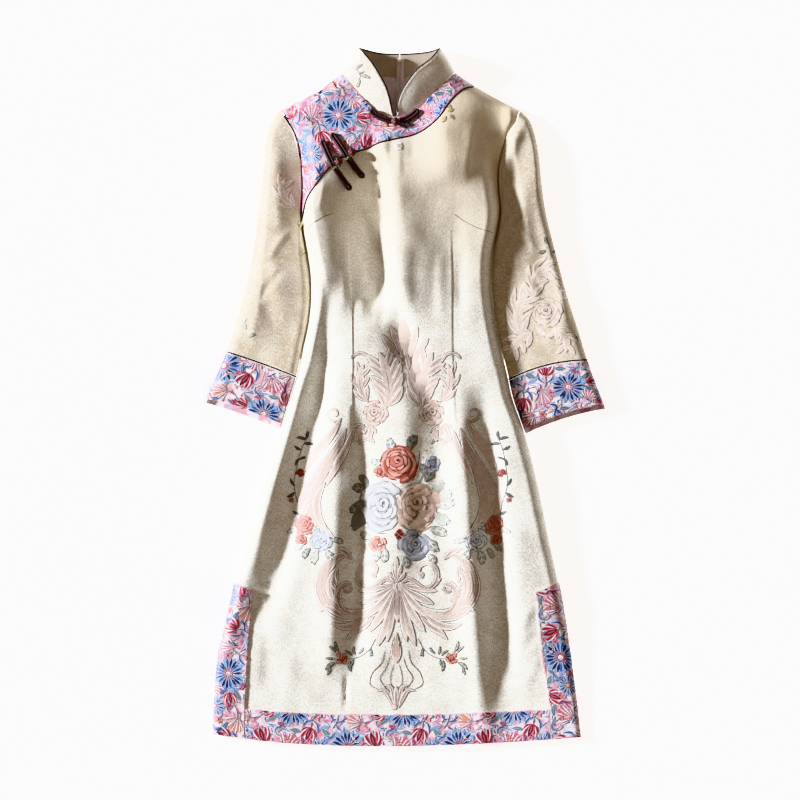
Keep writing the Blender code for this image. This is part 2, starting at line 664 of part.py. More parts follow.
def flat_line(line_front, line_back, rise, back_rise):
    """A line of the flattened collar: out along the front, round the side, along the back."""
    reach_steps = (1 - np.cos(np.radians((90, 60, 30, 0)))) * COLLAR_ROLL
    places = []
    for line, height, turn in ((line_front, rise, 1), (line_back, back_rise, -1)):
        length = np.hypot(*np.diff(curve_points(line, np.linspace(0, 1, 40)), axis=0).T).sum()
        inner = np.linspace(0, 1 - COLLAR_ROLL / length, COLLAR_SAMPLES)
        rolled = 1 - reach_steps[1:] / length
        at = np.r_[inner, rolled]
        if turn < 0:
            at = (1 - at)[::-1][1:]
            gap = at * length
        else:
            gap = (1 - at) * length
        plan = curve_points(line, at)
        middle = (rise + back_rise) / 2
        round_off = quarter_round(gap / COLLAR_ROLL)
        z = middle + (height - middle) * round_off
        places.append(np.c_[plan, z])
    return np.concatenate(places)


def make_collar(name, side, neck, leaf, back_neck, back_top):
    neck = np.array(neck)
    neck = moved_across(neck, side * SEAM)
    neck[0] = (neck[0, 0] + side * COLLAR_OVERLAP, LEFT_NECK[0][1] + SEAM / 2)
    back_neck = np.array(back_neck)
    back_neck[:, 1] += SEAM
    back_neck[0] = neck[-1]
    back_neck[-1, 0] += side * SEAM / 2
    back_top = np.array(back_top)
    back_top[-1, 0] += side * SEAM / 2
    base = flat_line(neck, back_neck, COLLAR_BASE_RISE, COLLAR_BACK_BASE)
    top = flat_line(leaf, back_top, COLLAR_TOP_RISE, COLLAR_BACK_TOP)
    # The leaf stands lower at the centre front, where the two halves meet
    away = np.linspace(0, 1, COLLAR_SAMPLES)
    lowest = COLLAR_BASE_RISE + COLLAR_FRONT_RISE
    top[:COLLAR_SAMPLES, 2] = lowest + (COLLAR_TOP_RISE - lowest) * away * (2 - away)
    steps = np.linspace(0, 1, 6)[:, None, None]
    grid = (1 - steps) * base + steps * top
    tall = np.linalg.norm(top - base, axis=1)[None, :, None]
    bulge = np.sin(np.pi * steps) * COLLAR_BULGE * np.clip(tall / 40 - 0.3, 0, 1)
    grid = grid + upward(grid) * bulge
    grid[..., 2] = np.maximum(grid[..., 2], COLLAR_BACK_BASE)
    normals = upward(grid)
    normals[:, 0] = normals[:, 1]
    normals[:, -1] = normals[:, -2]
    cloth_wall("collar_" + name, grid, TRIM, IVORY, normals)
    facing = grid - normals * (TRIM + FACING_GAP)
    cloth_wall("collar_facing_" + name, facing, LINING, SATIN, normals)
    edge = grid[-1] - grid[-2]
    edge /= np.linalg.norm(edge, axis=1, keepdims=True)
    middle = (TRIM + FACING_GAP + LINING) / 2
    line = grid[-1] + edge * (PIPE + 0.6) - normals[-1] * middle
    cord("collar_piping_" + name, line[1:-1], PIPE, CORD)


def tube_rings(table, side, count, folds):
    """Rings of a flattened tube beside the body: face points out to in, then the back's."""
    stations = np.arange(len(table))
    at = np.linspace(0, len(table) - 1, count)
    steps = 1 - np.cos(np.radians(ROLL_ANGLES))
    column = "right" if side > 0 else "left"
    armhole_y = np.linspace(ARMHOLE_HEAD, table[0].inner_y, 40)
    armhole = np.c_[body(column, armhole_y), armhole_y]
    rings = []
    for station in at:
        outer_x, outer_y, inner_y, rise, bow = (
            float(smooth(stations, [row[i] for row in table], station)) for i in range(5)
        )
        outer = np.array([outer_x, outer_y])
        inner = np.array([body(column, inner_y) + side * (SEAM + 0.5), inner_y])
        length = np.linalg.norm(inner - outer)
        roll = SLEEVE_ROLL * rise
        ends = steps * roll / length
        v = np.r_[ends, np.linspace(ends[-1], 1 - ends[-1], 6)[1:-1], 1 - ends[::-1]]
        line = outer + np.outer(v, inner - outer)
        if bow >= 0:
            seam = curve_points(armhole, v)
            chord = seam[0] + np.outer(v, seam[-1] - seam[0])
            line = line + bow * (seam - chord)
            # Clear of the armhole: wide where the cord lies, then a plain seam
            piped = (side < 0) & (line[:, 1] > ARMHOLE_PIPING_FOOT - 4)
            wide = np.where(piped, PIPED_SEAM + 0.3, SEAM)
            line[:, 0] += side * bow * wide * np.clip(v * 8, 0.3, 1)
        else:
            across = (inner - outer) / length
            bend = -bow * length * 4 * v * (1 - v) * 0.6
            line = line + np.outer(bend, (-across[1], across[0])) * (1 if side < 0 else -1)
        gap = np.minimum(v, 1 - v) * length
        middle = SLEEVE_MIDDLE * rise
        round_off = quarter_round(gap / roll)
        lumps = folds_at(folds, line[:, 0], line[:, 1]) * round_off
        face = np.c_[line, middle + (rise - middle) * round_off + lumps]
        back = np.c_[line, middle * (1 - round_off)]
        rings.append(np.concatenate([face, back[-2:0:-1]]))
    return np.array(rings)


def make_sleeve(name, side, table, cuff_table):
    rings = tube_rings(table, side, SLEEVE_RINGS, SLEEVE_FOLDS)
    normals = upward(rings, wrap=True)
    cloth_wall("sleeve_" + name, rings, CLOTH, IVORY, normals, wrap=True)
    cuff = tube_rings(cuff_table, side, CUFF_RINGS, ())
    around = cuff.shape[1]
    front = around // 2 + 1
    drop = np.linspace(0, 1, CUFF_RINGS)[:, None] ** 2
    down = cuff[-1].mean(axis=0) - cuff[0].mean(axis=0)
    down[2] = 0
    down /= np.linalg.norm(down)
    share = np.zeros(around)
    share[front:] = 1
    cuff = cuff + (drop * share * CUFF_BACK_DROP)[..., None] * down
    cuff_normals = upward(cuff, wrap=True)
    cloth_wall("cuff_" + name, cuff, CLOTH, FLORAL, cuff_normals, wrap=True)
    joint = (rings[-1] + cuff[0]) / 2 - (normals[-1] + cuff_normals[0]) / 2 * PIPE_SINK
    joint[:, 2] = np.maximum(joint[:, 2], PIPE + 0.1)
    cord("cuff_piping_" + name, joint, PIPE, CORD, closed=True)


def seats(names):
    """Reads the height of the pieces already made, from above."""
    graph = bpy.context.evaluated_depsgraph_get()
    trees = [BVHTree.FromObject(bpy.data.objects[name], graph) for name in names]

    def height(x, y):
        start = Vector(((x - CENTRE_X) * MM, (y - CENTRE_Y) * MM, 0.2))
        found = [tree.ray_cast(start, Vector((0, 0, -1)))[0] for tree in trees]
        return max((place.z / MM for place in found if place is not None), default=0.0)

    return height


def frog_strip(name, line, height):
    """A flat loop of doubled cord that lies on the cloth."""
    count = 9
    plan = curve_points(line, np.linspace(0, 1, count))
    sides = moved_across(plan, 1.0) - plan
    half, tall = FROG_WIDTH / 2, FROG_HEIGHT
    profile = ((-1.0, 0.25), (-0.8, 0.0), (0.8, 0.0), (1.0, 0.25), (0.9, 0.75), (0.5, 1.0),
               (0.0, 0.86), (-0.5, 1.0), (-0.9, 0.75))
    rings = []
    for place, side in zip(plan, sides):
        reach = (-half, -half / 2, 0, half / 2, half)
        seat = max(height(*(place + side * r)) for r in reach) + FROG_REST
        rings.append([(*(place + side * half * u), seat + tall * w) for u, w in profile])
    rings = np.array(rings)
    # Two passes that never dip below a neighbour keep the strip clear between its sections
    for _ in range(2):
        lift = rings[:, 1, 2].copy()
        lift[1:-1] = np.maximum(lift[1:-1], (rings[:-2, 1, 2] + rings[2:, 1, 2]) / 2)
        rings[..., 2] += (lift - rings[:, 1, 2])[:, None]
    return solid_loft(name, rings, CORD)


def frog_knot(name, ends, height):
    """A knotted button: two rounded turns of cord, one below the other."""
    ends = np.array(ends, float)
    middle = ends.mean(axis=0)
    seat = max(height(*place) for place in (*ends, middle)) + FROG_REST
    along = (ends[1] - ends[0]) / np.linalg.norm(ends[1] - ends[0])
    across = np.array([-along[1], along[0]])
    length = np.linalg.norm(ends[1] - ends[0])
    start = ends[0] - along * KNOT_RADIUS
    rings = []
    for t in np.linspace(0.03, 0.97, 9):
        at = t * (length + 2 * KNOT_RADIUS)
        first = KNOT_RADIUS**2 - (at - KNOT_RADIUS) ** 2
        second = KNOT_RADIUS**2 - (at - KNOT_RADIUS - length) ** 2
        radius = math.sqrt(max(first, second, 1.0))
        centre = start + along * at
        turns = np.linspace(0, 2 * math.pi, 11)[:-1]
        plan = [centre + across * radius * math.cos(turn) for turn in turns]
        rise = [KNOT_FLATNESS * (KNOT_RADIUS + radius * math.sin(turn)) for turn in turns]
        rings.append([(*place, seat + up) for place, up in zip(plan, rise)])
    return solid_loft(name, rings, CORD)


def make_frogs():
    height = seats(("front_panel", "yoke", "yoke_piping", "collar_left", "collar_right"))
    for name, line in (
        ("frog_a_upper", FROG_A_UPPER), ("frog_a_lower", FROG_A_LOWER),
        ("frog_b_upper", FROG_B_UPPER), ("frog_b_lower", FROG_B_LOWER),
        ("frog_neck_left", NECK_FROG_LEFT), ("frog_neck_right", NECK_FROG_RIGHT),
    ):
        frog_strip(name, line, height)
    knots = (("frog_a_knot", FROG_A_KNOT), ("frog_b_knot", FROG_B_KNOT),
             ("frog_neck_knot", NECK_KNOT))
    for name, ends in knots:
        frog_knot(name, ends, height)


def main():
    for obj in list(bpy.data.objects):
        bpy.data.objects.remove(obj)
    make_back()
    make_zip()
    make_front()
    make_yoke()
    make_bands()
    make_sleeve("left", -1, LEFT_SLEEVE, LEFT_CUFF)
    make_sleeve("right", 1, RIGHT_SLEEVE, RIGHT_CUFF)
    make_collar("left", -1, LEFT_NECK, LEFT_LEAF, LEFT_BACK_NECK, LEFT_BACK_TOP)
    make_collar("right", 1, RIGHT_NECK, RIGHT_LEAF, RIGHT_BACK_NECK, RIGHT_BACK_TOP)
    bpy.context.view_layer.update()
    make_frogs()


main()
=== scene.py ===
import math
import random

import bpy
import numpy as np
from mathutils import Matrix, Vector
from mathutils.bvhtree import BVHTree


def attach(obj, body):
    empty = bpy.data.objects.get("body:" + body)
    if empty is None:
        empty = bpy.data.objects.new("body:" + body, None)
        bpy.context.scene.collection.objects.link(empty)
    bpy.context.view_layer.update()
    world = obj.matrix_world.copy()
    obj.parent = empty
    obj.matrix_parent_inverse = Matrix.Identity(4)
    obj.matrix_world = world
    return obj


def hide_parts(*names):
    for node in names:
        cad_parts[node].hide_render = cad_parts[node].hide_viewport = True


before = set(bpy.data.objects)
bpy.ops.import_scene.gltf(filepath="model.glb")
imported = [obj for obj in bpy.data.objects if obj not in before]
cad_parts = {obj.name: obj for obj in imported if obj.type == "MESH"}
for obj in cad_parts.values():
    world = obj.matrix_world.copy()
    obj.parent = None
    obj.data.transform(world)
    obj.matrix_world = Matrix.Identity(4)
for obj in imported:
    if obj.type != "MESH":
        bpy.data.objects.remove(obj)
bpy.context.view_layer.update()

# Garment sizes are in millimetres: x across from the centre front, y up from the hem,
# z up from the surface that the dress lies on. The origin is the middle of its underside.
mm = 0.001
centre = np.array([11.62, 501.45, 0.0])
dice = random.Random(41)


def toMetres(points):
    return (np.asarray(points, float) - centre) * mm


def tone(red, green, blue):
    # a colour given as on screen, 0 to 255, in the linear values that materials take
    parts = [c / 255 for c in (red, green, blue)]
    return tuple(c / 12.92 if c < 0.04045 else ((c + 0.055) / 1.055) ** 2.4 for c in parts)


# The view: straight down on the laid dress

view = {"middle": (-0.0073, -0.0046), "height": 3.0, "width": 1.1472}
cameraData = bpy.data.cameras.new("camera")
cameraData.type = "ORTHO"
cameraData.ortho_scale = view["width"]
camera = bpy.data.objects.new("camera", cameraData)
camera.location = (*view["middle"], view["height"])
bpy.context.scene.collection.objects.link(camera)
bpy.context.scene.camera = camera

# The body's outline and rise, a row for each level

bodyNames = ("y", "left", "right", "rise", "roll", "bandLeft", "bandRight", "lip", "square")
bodyRows = np.array([row if len(row) > 7 else (*row, 2.8, 0.5) for row in (
    (0, -262.5, 263.5, 6.5, 7, -218, 220),
    (50, -261.2, 258.5, 7, 8, -218, 219),
    (90, -259.3, 253.5, 9, 9, -216, 213),
    (135, -254.5, 247.5, 13, 11, -214, 207),
    (185, -242.5, 240.3, 17, 13, -210, 202),
    (236, -231.3, 231, 20, 14, -206, 198),
    (300, -213.8, 217.2, 22, 15, -186, 184),
    (355, -199, 206.3, 24, 16, -168, 172),
    (410, -181, 193.8, 26, 16, -148, 158),
    (455, -166.5, 181, 27, 16, -134, 145),
    (500, -153, 165.4, 28, 16, -121, 131),
    (540, -141.4, 156.6, 30, 16, -111, 122),
    (575, -134.4, 147.6, 31, 16, -104, 114),
    (606, -127.6, 141.2, 32, 16, -98, 108),
    (640, -123.8, 136.9, 34, 16, -94, 104),
    (676, -124.9, 135.7, 36, 17, -95, 103),
    (718, -131.2, 139.1, 39, 18, -100, 106),
    (742, -135.1, 144.1, 40, 18, -103, 110, 3.2, 0.5),
    (766, -137.4, 147.7, 40, 19, -103, 112, 6, 0.6),
    (802, -135.5, 144.8, 39, 20, -103, 112, 11, 0.8),
    (825, -136.2, 144.5, 37, 22, -103, 112, 13, 1),
    (855, -138.4, 150, 33, 24, -103, 112, 14, 1),
    (871, -142.7, 155.2, 30, 24, -103, 112, 14, 1),
    (884, -147.7, 162, 28, 24, -103, 112, 13, 1),
    (895, -154.6, 170.2, 26, 24, -103, 112, 12, 1),
    (911, -165.9, 175.8, 24, 24, -103, 112, 9, 1),
    (935, -205, 215, 22, 24, -103, 112, 9, 1),
    (970, -260, 270, 20, 24, -103, 112, 9, 1),
)])

# Folds: each runs from its head through its middle to its foot, then depth and both widths
mainFolds = (
    (-28, 872, -18, 741, -26, 590, -17.5, 50, 10),
    (6, 850, 10, 726, 6, 580, 3.6, 18, 36),
    (62, 925, 60, 860, 52, 780, 3.5, 30, 34),
    (-92, 640, -126, 425, -217, 120, -13, 25, 15),
    (-128, 575, -169, 425, -218, 190, 4, 14, 14),
    (-90, 545, -90, 345, -104, 60, 7.5, 22, 16),
    (-54, 530, -50, 345, -67, 60, -8.5, 14, 16),
    (9, 570, 8, 382, 5, 205, 5, 27, 22),
    (58, 550, 60, 430, 57, 270, -5.5, 22, 16),
    (84, 560, 103, 300, 127, -30, 9, 20, 20),
    (116, 550, 142, 280, 158, -30, -12, 22, 16),
    (172, 360, 176, 210, 184, 75, 2, 14, 26),
)
# Small creases, uneven, that only the finer cloth shows
fineFolds = (
    (-31, 868, -29, 846, -27, 822, 1.3, 4, 4),  # gathers under the yoke's piping
    (-21, 872, -20, 852, -19, 828, 1.2, 4, 5),
    (-9, 876, -9, 856, -8, 826, -1, 4, 4),
    (4, 878, 3, 850, 2, 812, 1.1, 6, 5),
    (22, 880, 22, 858, 23, 838, -0.8, 6, 6),
    (-104, 815, -108, 790, -112, 764, 1.1, 6, 5),
    (-88, 800, -94, 780, -100, 752, -0.9, 5, 6),
    (110, 905, 104, 860, 96, 800, 1.2, 9, 7),
    (-76, 735, -75, 690, -76, 620, 1, 6, 8),
    (-52, 700, -50, 660, -54, 600, 1, 8, 8),
    (28, 735, 26, 690, 30, 610, -1, 10, 12),
    (66, 720, 62, 680, 66, 600, 1.1, 7, 9),
    (97, 725, 92, 680, 96, 610, -1.1, 7, 7),
    (-72, 108, -72.5, 80, -73, 47, -2.2, 4, 3),
    (-150, 150, -156, 110, -160, 56, 1.5, 10, 12),
    (-188, 190, -184, 150, -190, 70, -1.6, 9, 9),
    (-26, 150, -28, 105, -26, 48, 0.9, 12, 14),
    (30, 150, 34, 100, 30, 48, -0.9, 12, 12),
    (92, 130, 88, 95, 90, 48, 1.1, 10, 10),
    (195, 205, 186, 186, 174, 160, 1.5, 7, 7),  # puckers beside the right band
    (198, 165, 190, 150, 176, 130, -1.2, 6, 7),
    (201, 130, 194, 110, 184, 80, 1.1, 7, 6),
    (-199, 250, -196, 228, -190, 200, 1.6, 6, 6),
    (48, 330, 50, 290, 47, 230, 1, 7, 7),
    (-120, 330, -128, 300, -140, 250, 0.9, 8, 8),
)
# Broad, shallow slopes that shape the bodice and the skirt
broadFolds = (
    (-30, 880, -26, 750, -40, 600, -9.5, 62, 8),
    (-127, 880, -119, 765, -90, 640, 8.5, 10, 46),
    (-12, 862, -10, 760, -16, 600, 5, 7, 46),
    (84, 790, 84, 680, 88, 560, -3, 48, 15),
    (72, 945, 73, 880, 76, 800, 7.5, 24, 48),
    (156, 1010, 150, 890, 146, 775, -9.5, 35, 10),
    (-70, 800, 6, 604, 52, 462, -11, 32, 13),
    (-24, 905, -23, 836, -20, 760, 5.5, 8, 36),
    (-94, 680, -103, 580, -122, 440, -6, 15, 12),
    (-118, 690, -118, 610, -122, 520, 4.5, 10, 40),
    (-70, 520, -64, 430, -60, 330, 3, 12, 22),
    (-150, 420, -168, 300, -186, 180, 2, 16, 26),
    (30, 470, 32, 360, 34, 240, -2, 26, 10),
    (-20, 330, -18, 220, -20, 110, 2, 26, 30),
)
sleeveFolds = (
    (182, 903, 168, 870, 150, 800, 4.5, 7, 10),
    (164, 920, 178, 810, 200, 700, 4, 8, 42),
    (196, 800, 205, 715, 232, 620, -3, 16, 18),
    (240, 660, 238, 620, 232, 575, 3, 12, 12),
    (-176, 880, -172, 800, -168, 720, 3, 12, 14),
    (-190, 880, -188, 720, -210, 560, 7.5, 12, 42),
    (-196, 720, -190, 660, -180, 590, -3.5, 16, 14),
    (150, 755, 172, 742, 196, 700, 1.4, 7, 8),  # small creases at the elbows
    (158, 700, 186, 680, 214, 640, -1.2, 7, 7),
    (-150, 745, -166, 728, -186, 690, 1.3, 7, 8),
    (-160, 690, -178, 668, -202, 630, -1.3, 8, 7),
    (-215, 640, -210, 612, -206, 580, 1.1, 6, 6),
    (212, 640, 216, 605, 220, 570, 1.1, 7, 8),
)

yokeLine = (
    (-136, 757), (-129.5, 785.1), (-116.2, 806.6), (-99.4, 827.7), (-75.6, 846.8),
    (-41.6, 858.2), (-22.4, 866.9), (-0.9, 871.6), (30.1, 879.9), (45.5, 889.5),
    (60.9, 903.7), (71.7, 919.2), (82.3, 932.2), (97.5, 943.6), (111.9, 946.6),
)
leftShoulder = ((-165.9, 911.8), (-139.8, 925.2), (-111.3, 940), (-78.9, 965))
rightShoulder = ((175.8, 911), (137.7, 931.4), (111.9, 946.6), (83.2, 966))
leftNeck = (
    (-3, 903), (-21.1, 906), (-36.6, 916.2), (-49.6, 931.1), (-64, 947.8),
    (-78.9, 965),
)
rightNeck = (
    (-3, 903), (15.8, 905.8), (31.1, 914.5), (45.5, 930), (60.9, 945.3),
    (83.2, 966),
)

cloth = {
    "wall": 1.6, "trim": 1.2, "lining": 1.0, "rest": 0.45, "seam": 0.6, "pipe": 1.0, "cord": 1.3,
    "pipedSeam": 2.7, "pipeSink": 0.5, "lowestFace": 4.6, "shoulderLip": 3.0,
    "shoulderRoll": 14.0, "bodiceFoot": 735.0, "centreBack": 4.0, "backInset": 1.2,
}


def smooth(stations, values, at):
    stations, values = np.asarray(stations, float), np.asarray(values, float)
    slopes = np.gradient(values, stations)
    at = np.clip(at, stations[0], stations[-1])
    low = np.clip(np.searchsorted(stations, at) - 1, 0, len(stations) - 2)
    step = stations[low + 1] - stations[low]
    t = (at - stations[low]) / step
    return (
        values[low] * (2 * t**3 - 3 * t**2 + 1)
        + slopes[low] * step * (t**3 - 2 * t**2 + t)
        + values[low + 1] * (3 * t**2 - 2 * t**3)
        + slopes[low + 1] * step * (t**3 - t**2)
    )


def body(name, y):
    return smooth(bodyRows[:, 0], bodyRows[:, bodyNames.index(name)], y)


def runOf(line):
    # length along a line on the flat, from its first point
    return np.r_[0, np.cumsum(np.hypot(*np.diff(line, axis=0).T))]


def fullTurn(count):
    return np.linspace(0, 2 * math.pi, count, endpoint=False)


def curvePoints(points, at):
    points = np.array(points, float)
    run = runOf(points)
    at = np.asarray(at, float) * run[-1]
    return np.stack([smooth(run, points[:, 0], at), smooth(run, points[:, 1], at)], axis=-1)


def distanceTo(points, x, y):
    nearest = np.full(np.broadcast(x, y).shape, np.inf)
    for (x0, y0), (x1, y1) in zip(points[:-1], points[1:]):
        run = (x1 - x0) ** 2 + (y1 - y0) ** 2
        t = np.clip(((x - x0) * (x1 - x0) + (y - y0) * (y1 - y0)) / run, 0, 1)
        nearest = np.minimum(nearest, np.hypot(x - x0 - t * (x1 - x0), y - y0 - t * (y1 - y0)))
    return nearest


def quarterRound(reach, square=0.5):
    reach = np.clip(reach, 0, 1)
    return (1 - (1 - reach) ** 2) ** square


def foldsAt(folds, x, y):
    rise = np.zeros(np.broadcast(x, y).shape)
    for headX, headY, midX, midY, footX, footY, depth, left, right in folds:
        length = headY - footY
        t = (headY - y) / length
        middle = (headY - midY) / length
        line = (
            headX * (t - middle) * (t - 1) / middle
            + midX * t * (t - 1) / (middle * (middle - 1))
            + footX * t * (t - middle) / (1 - middle)
        )
        off = x - line
        ends = np.clip(np.minimum(t, 1 - t) / 0.3, 0, 1)
        width = np.where(off < 0, left, right)
        rise += depth * np.exp(-((off / width) ** 2)) * ends * ends * (3 - 2 * ends)
    return rise


def softWaves(x, y):
    # the slight unevenness that pressed cloth keeps
    waves = ((0.33, 0.021, 0.013, 1.0), (0.25, -0.034, 0.019, 2.2), (0.18, 0.052, 0.031, 4.0),
        (0.14, 0.013, -0.057, 0.7), (0.10, 0.083, -0.022, 5.1), (0.08, -0.061, -0.072, 3.3))
    return sum(a * np.sin(kx * x * 2 + ky * y * 2 + p) for a, kx, ky, p in waves)


# The waist darts: level, x of the line, and how strongly its edge stands up
dartLines = {
    "left": ((0, -128), (200, -92), (330, -72), (451, -65.1), (545, -63.7), (617, -64.5),
             (682, -67.8), (748, -70.3)),
    "right": ((0, 122), (200, 104), (330, 92), (441, 85.5), (523, 81.5), (593, 79.6),
              (665, 79.6), (731, 78.3)),
}
dartSizes = {"left": (448, 748, 1), "right": (438, 748, 0.55)}


def dartLine(side, y):
    rows = np.array(dartLines[side], float)
    return smooth(rows[:, 0], rows[:, 1], y)


def dartLedge(x, y):
    rise = np.zeros(np.broadcast(x, y).shape)
    for side, (foot, head, strength) in dartSizes.items():
        off = x - dartLine(side, y)
        fade = np.clip(np.minimum(y - foot, head - y) / 45, 0, 1)
        ledge = np.where(off > 0, -0.55 * np.exp(-off / 10), 0.45 * np.exp(off / 14))
        rise += strength * fade * ledge
    return rise


def frontHeight(x, y, reach):
    left, right = body("left", y), body("right", y)
    across = (x - (left + right) / 2) / ((right - left) / 2)
    top = body("rise", y) * (1.02 - 0.12 * np.clip(across, -1, 1) ** 2)
    top = top + foldsAt(mainFolds, x, y) + foldsAt(broadFolds, x, y)
    top = cloth["lowestFace"] + 2 * np.logaddexp(0, (top - cloth["lowestFace"]) / 2)
    calm = np.clip(y / 60, 0.25, 1)
    top = top + (foldsAt(fineFolds, x, y) + softWaves(x, y)) * calm + dartLedge(x, y)
    lip = body("lip", y)
    side = lip + (top - lip) * quarterRound(reach, body("square", y))
    shoulder = np.minimum(distanceTo(leftShoulder, x, y), distanceTo(rightShoulder, x, y))
    low = cloth["shoulderLip"]
    return low + (side - low) * quarterRound(shoulder / cloth["shoulderRoll"])


def hemLift(x, y):
    rise = np.where(x < 0, 17 * (np.abs(x) / 262) ** 2.6, 13 * (np.abs(x) / 263) ** 1.6)
    return rise * np.clip(1 - y / 200, 0, 1)


# Grids of points, and the shells of cloth made from them

rollAngles = np.linspace(0, 90, 9)
rollSteps = 1 - np.cos(np.radians(rollAngles))


def normalised(vectors):
    return vectors / np.maximum(np.linalg.norm(vectors, axis=-1, keepdims=True), 1e-9)


def gridNormals(grid, wrap):
    down = np.gradient(grid, axis=0)
    if wrap:
        across = np.roll(grid, -1, axis=1) - np.roll(grid, 1, axis=1)
    else:
        across = np.gradient(grid, axis=1)
    return normalised(np.cross(across, down))


def upward(grid, wrap=False):
    normals = gridNormals(grid, wrap)
    return normals if normals[:, grid.shape[1] // 4, 2].mean() > 0 else -normals


def runAcross(grid):
    # length along each row from its first point
    steps = np.linalg.norm(np.diff(grid, axis=1), axis=2)
    return np.concatenate([np.zeros((len(grid), 1)), np.cumsum(steps, axis=1)], axis=1)


def runAlong(grid):
    steps = np.linalg.norm(np.diff(grid, axis=0), axis=2).mean(axis=1)
    return np.r_[0, np.cumsum(steps)]


def quads(rows, columns, start, wrap):
    row, column = np.mgrid[0 : rows - 1, 0 : columns if wrap else columns - 1]
    after = (column + 1) % columns
    here, above = start + row * columns, start + (row + 1) * columns
    return np.stack([here + column, here + after, above + after, above + column], -1).reshape(-1, 4)


def titled(name):
    # a made piece is called after its CAD node, in camel case
    first, *rest = name.split("_")
    return first + "".join(word.capitalize() for word in rest) + "Made"


def outward(points, faces):
    volume = 0.0
    for face in faces:
        first = points[face[0]]
        for a, b in zip(face[1:-1], face[2:]):
            volume += np.dot(first, np.cross(points[a], points[b]))
    return faces if volume > 0 else [tuple(face)[::-1] for face in faces]


def placed(name, data):
    made = bpy.data.objects.new(name, data)
    bpy.context.scene.collection.objects.link(made)
    return made


def meshOf(name, points, faces, finish, smoothAngle):
    # an object from points in metres
    mesh = bpy.data.meshes.new(name)
    mesh.from_pydata(points, [], faces)
    mesh.shade_smooth()
    mesh.set_sharp_from_angle(angle=math.radians(smoothAngle))
    mesh.materials.append(finish)
    return placed(name, mesh)


def layUv(mesh, values):
    layer = mesh.uv_layers.new(name="cloth")
    layer.data.foreach_set("uv", values.astype(np.float32).ravel())


def newMesh(name, points, faces, finish, uv, smoothAngle=40):
    faces = [tuple(face) for face in faces]
    piece = meshOf(name, toMetres(points).tolist(), faces, finish, smoothAngle)
    corners = np.empty(len(piece.data.loops), int)
    piece.data.loops.foreach_get("vertex_index", corners)
    layUv(piece.data, np.asarray(uv)[corners] * mm)
    return piece


def facingOut(points, faces):
    fan = points[faces]
    volume = np.einsum("ij,ij->", fan[:, 0], np.cross(fan[:, 1], fan[:, 2]))
    volume += np.einsum("ij,ij->", fan[:, 0], np.cross(fan[:, 2], fan[:, 3]))
    return faces if volume > 0 else faces[:, ::-1]


def clothShell(name, grid, thickness, finish, normals, wrap=False):
    # closed cloth: the grid is its face, and its back is the grid moved in
    rows, columns = grid.shape[:2]
    size = rows * columns
    points = np.concatenate([grid.reshape(-1, 3), (grid - normals * thickness).reshape(-1, 3)])
    points[:, 2] = np.maximum(points[:, 2], 0.0)
    faces = [quads(rows, columns, 0, wrap), quads(rows, columns, size, wrap)[:, ::-1]]
    column = np.arange(columns if wrap else columns - 1)
    after = (column + 1) % columns
    top = (rows - 1) * columns
    faces.append(np.stack([after, column, size + column, size + after], -1))
    faces.append(np.stack([top + column, top + after, size + top + after, size + top + column], -1))
    if not wrap:
        here = np.arange(rows - 1) * columns
        above = here + columns
        faces.append(np.stack([here, above, size + above, size + here], -1))
        end, endAbove = here + columns - 1, above + columns - 1
        faces.append(np.stack([endAbove, end, size + end, size + endAbove], -1))
    faces = facingOut(points, np.concatenate(faces))
    across, along = runAcross(grid), runAlong(grid)
    middle = columns // 2
    uv = np.stack([across - across[:, middle : middle + 1] + grid[:, middle : middle + 1, 0],
        np.broadcast_to(along[:, None] + grid[0, middle, 1], across.shape)], -1)
    uv = np.concatenate([uv.reshape(-1, 2)] * 2)
    return newMesh(name, points, faces, finish, uv)


def tube(name, path, radius, finish, closed=False, sides=12):
    # round cord along points, with its run along V and its turn in U
    path = np.asarray(path, float)
    if closed:
        along = normalised(np.roll(path, -1, axis=0) - np.roll(path, 1, axis=0))
    else:
        along = normalised(np.gradient(path, axis=0))
    side = np.cross(along, (0.0, 0.0, 1.0))
    size = np.linalg.norm(side, axis=1, keepdims=True)
    side = np.where(size > 0.05, side / np.maximum(size, 1e-6), (1.0, 0.0, 0.0))
    up = np.cross(side, along)
    turn = fullTurn(sides)
    radius = np.broadcast_to(radius, len(path))[:, None, None]
    c, s = np.cos(turn)[None, :, None], np.sin(turn)[None, :, None]
    points = (path[:, None] + (side[:, None] * c + up[:, None] * s) * radius).reshape(-1, 3)
    last = (len(path) - 1) * sides
    faces = [tuple(face) for face in quads(len(path), sides, 0, wrap=True)]
    if closed:
        faces += [(last + i, last + (i + 1) % sides, (i + 1) % sides, i) for i in range(sides)]
    else:
        faces += [tuple(range(sides))[::-1], tuple(last + i for i in range(sides))]
    run = np.r_[0, np.cumsum(np.linalg.norm(np.diff(path, axis=0), axis=1))]
    uv = np.stack(np.broadcast_arrays(turn[None, :], run[:, None]), -1).reshape(-1, 2)
    return newMesh(name, points, outward(points, faces), finish, uv, 80)


def joined(name, parts):
    # one object from several, with their places kept in the mesh
    points, faces, uvs = [], [], []
    for part in parts:
        mesh, start = part.data, len(points)
        points += [tuple(v.co) for v in mesh.vertices]
        faces += [tuple(start + i for i in p.vertices) for p in mesh.polygons]
        uvs += [tuple(item.uv) for item in mesh.uv_layers[0].data]
    whole = meshOf(name, points, faces, parts[0].data.materials[0], 80)
    layUv(whole.data, np.array(uvs))
    for part in parts:
        bpy.data.objects.remove(part)
    return whole


pieces = {}


def dress(name, grid, thickness, finish, normals, wrap=False):
    # cloth that stands for the CAD node of that name
    pieces[name] = clothShell(titled(name), grid, thickness, finishes[finish], normals, wrap)


def corded(name, path, radius, closed=False):
    pieces[name] = tube(titled(name), path, radius, finishes["cord"], closed)


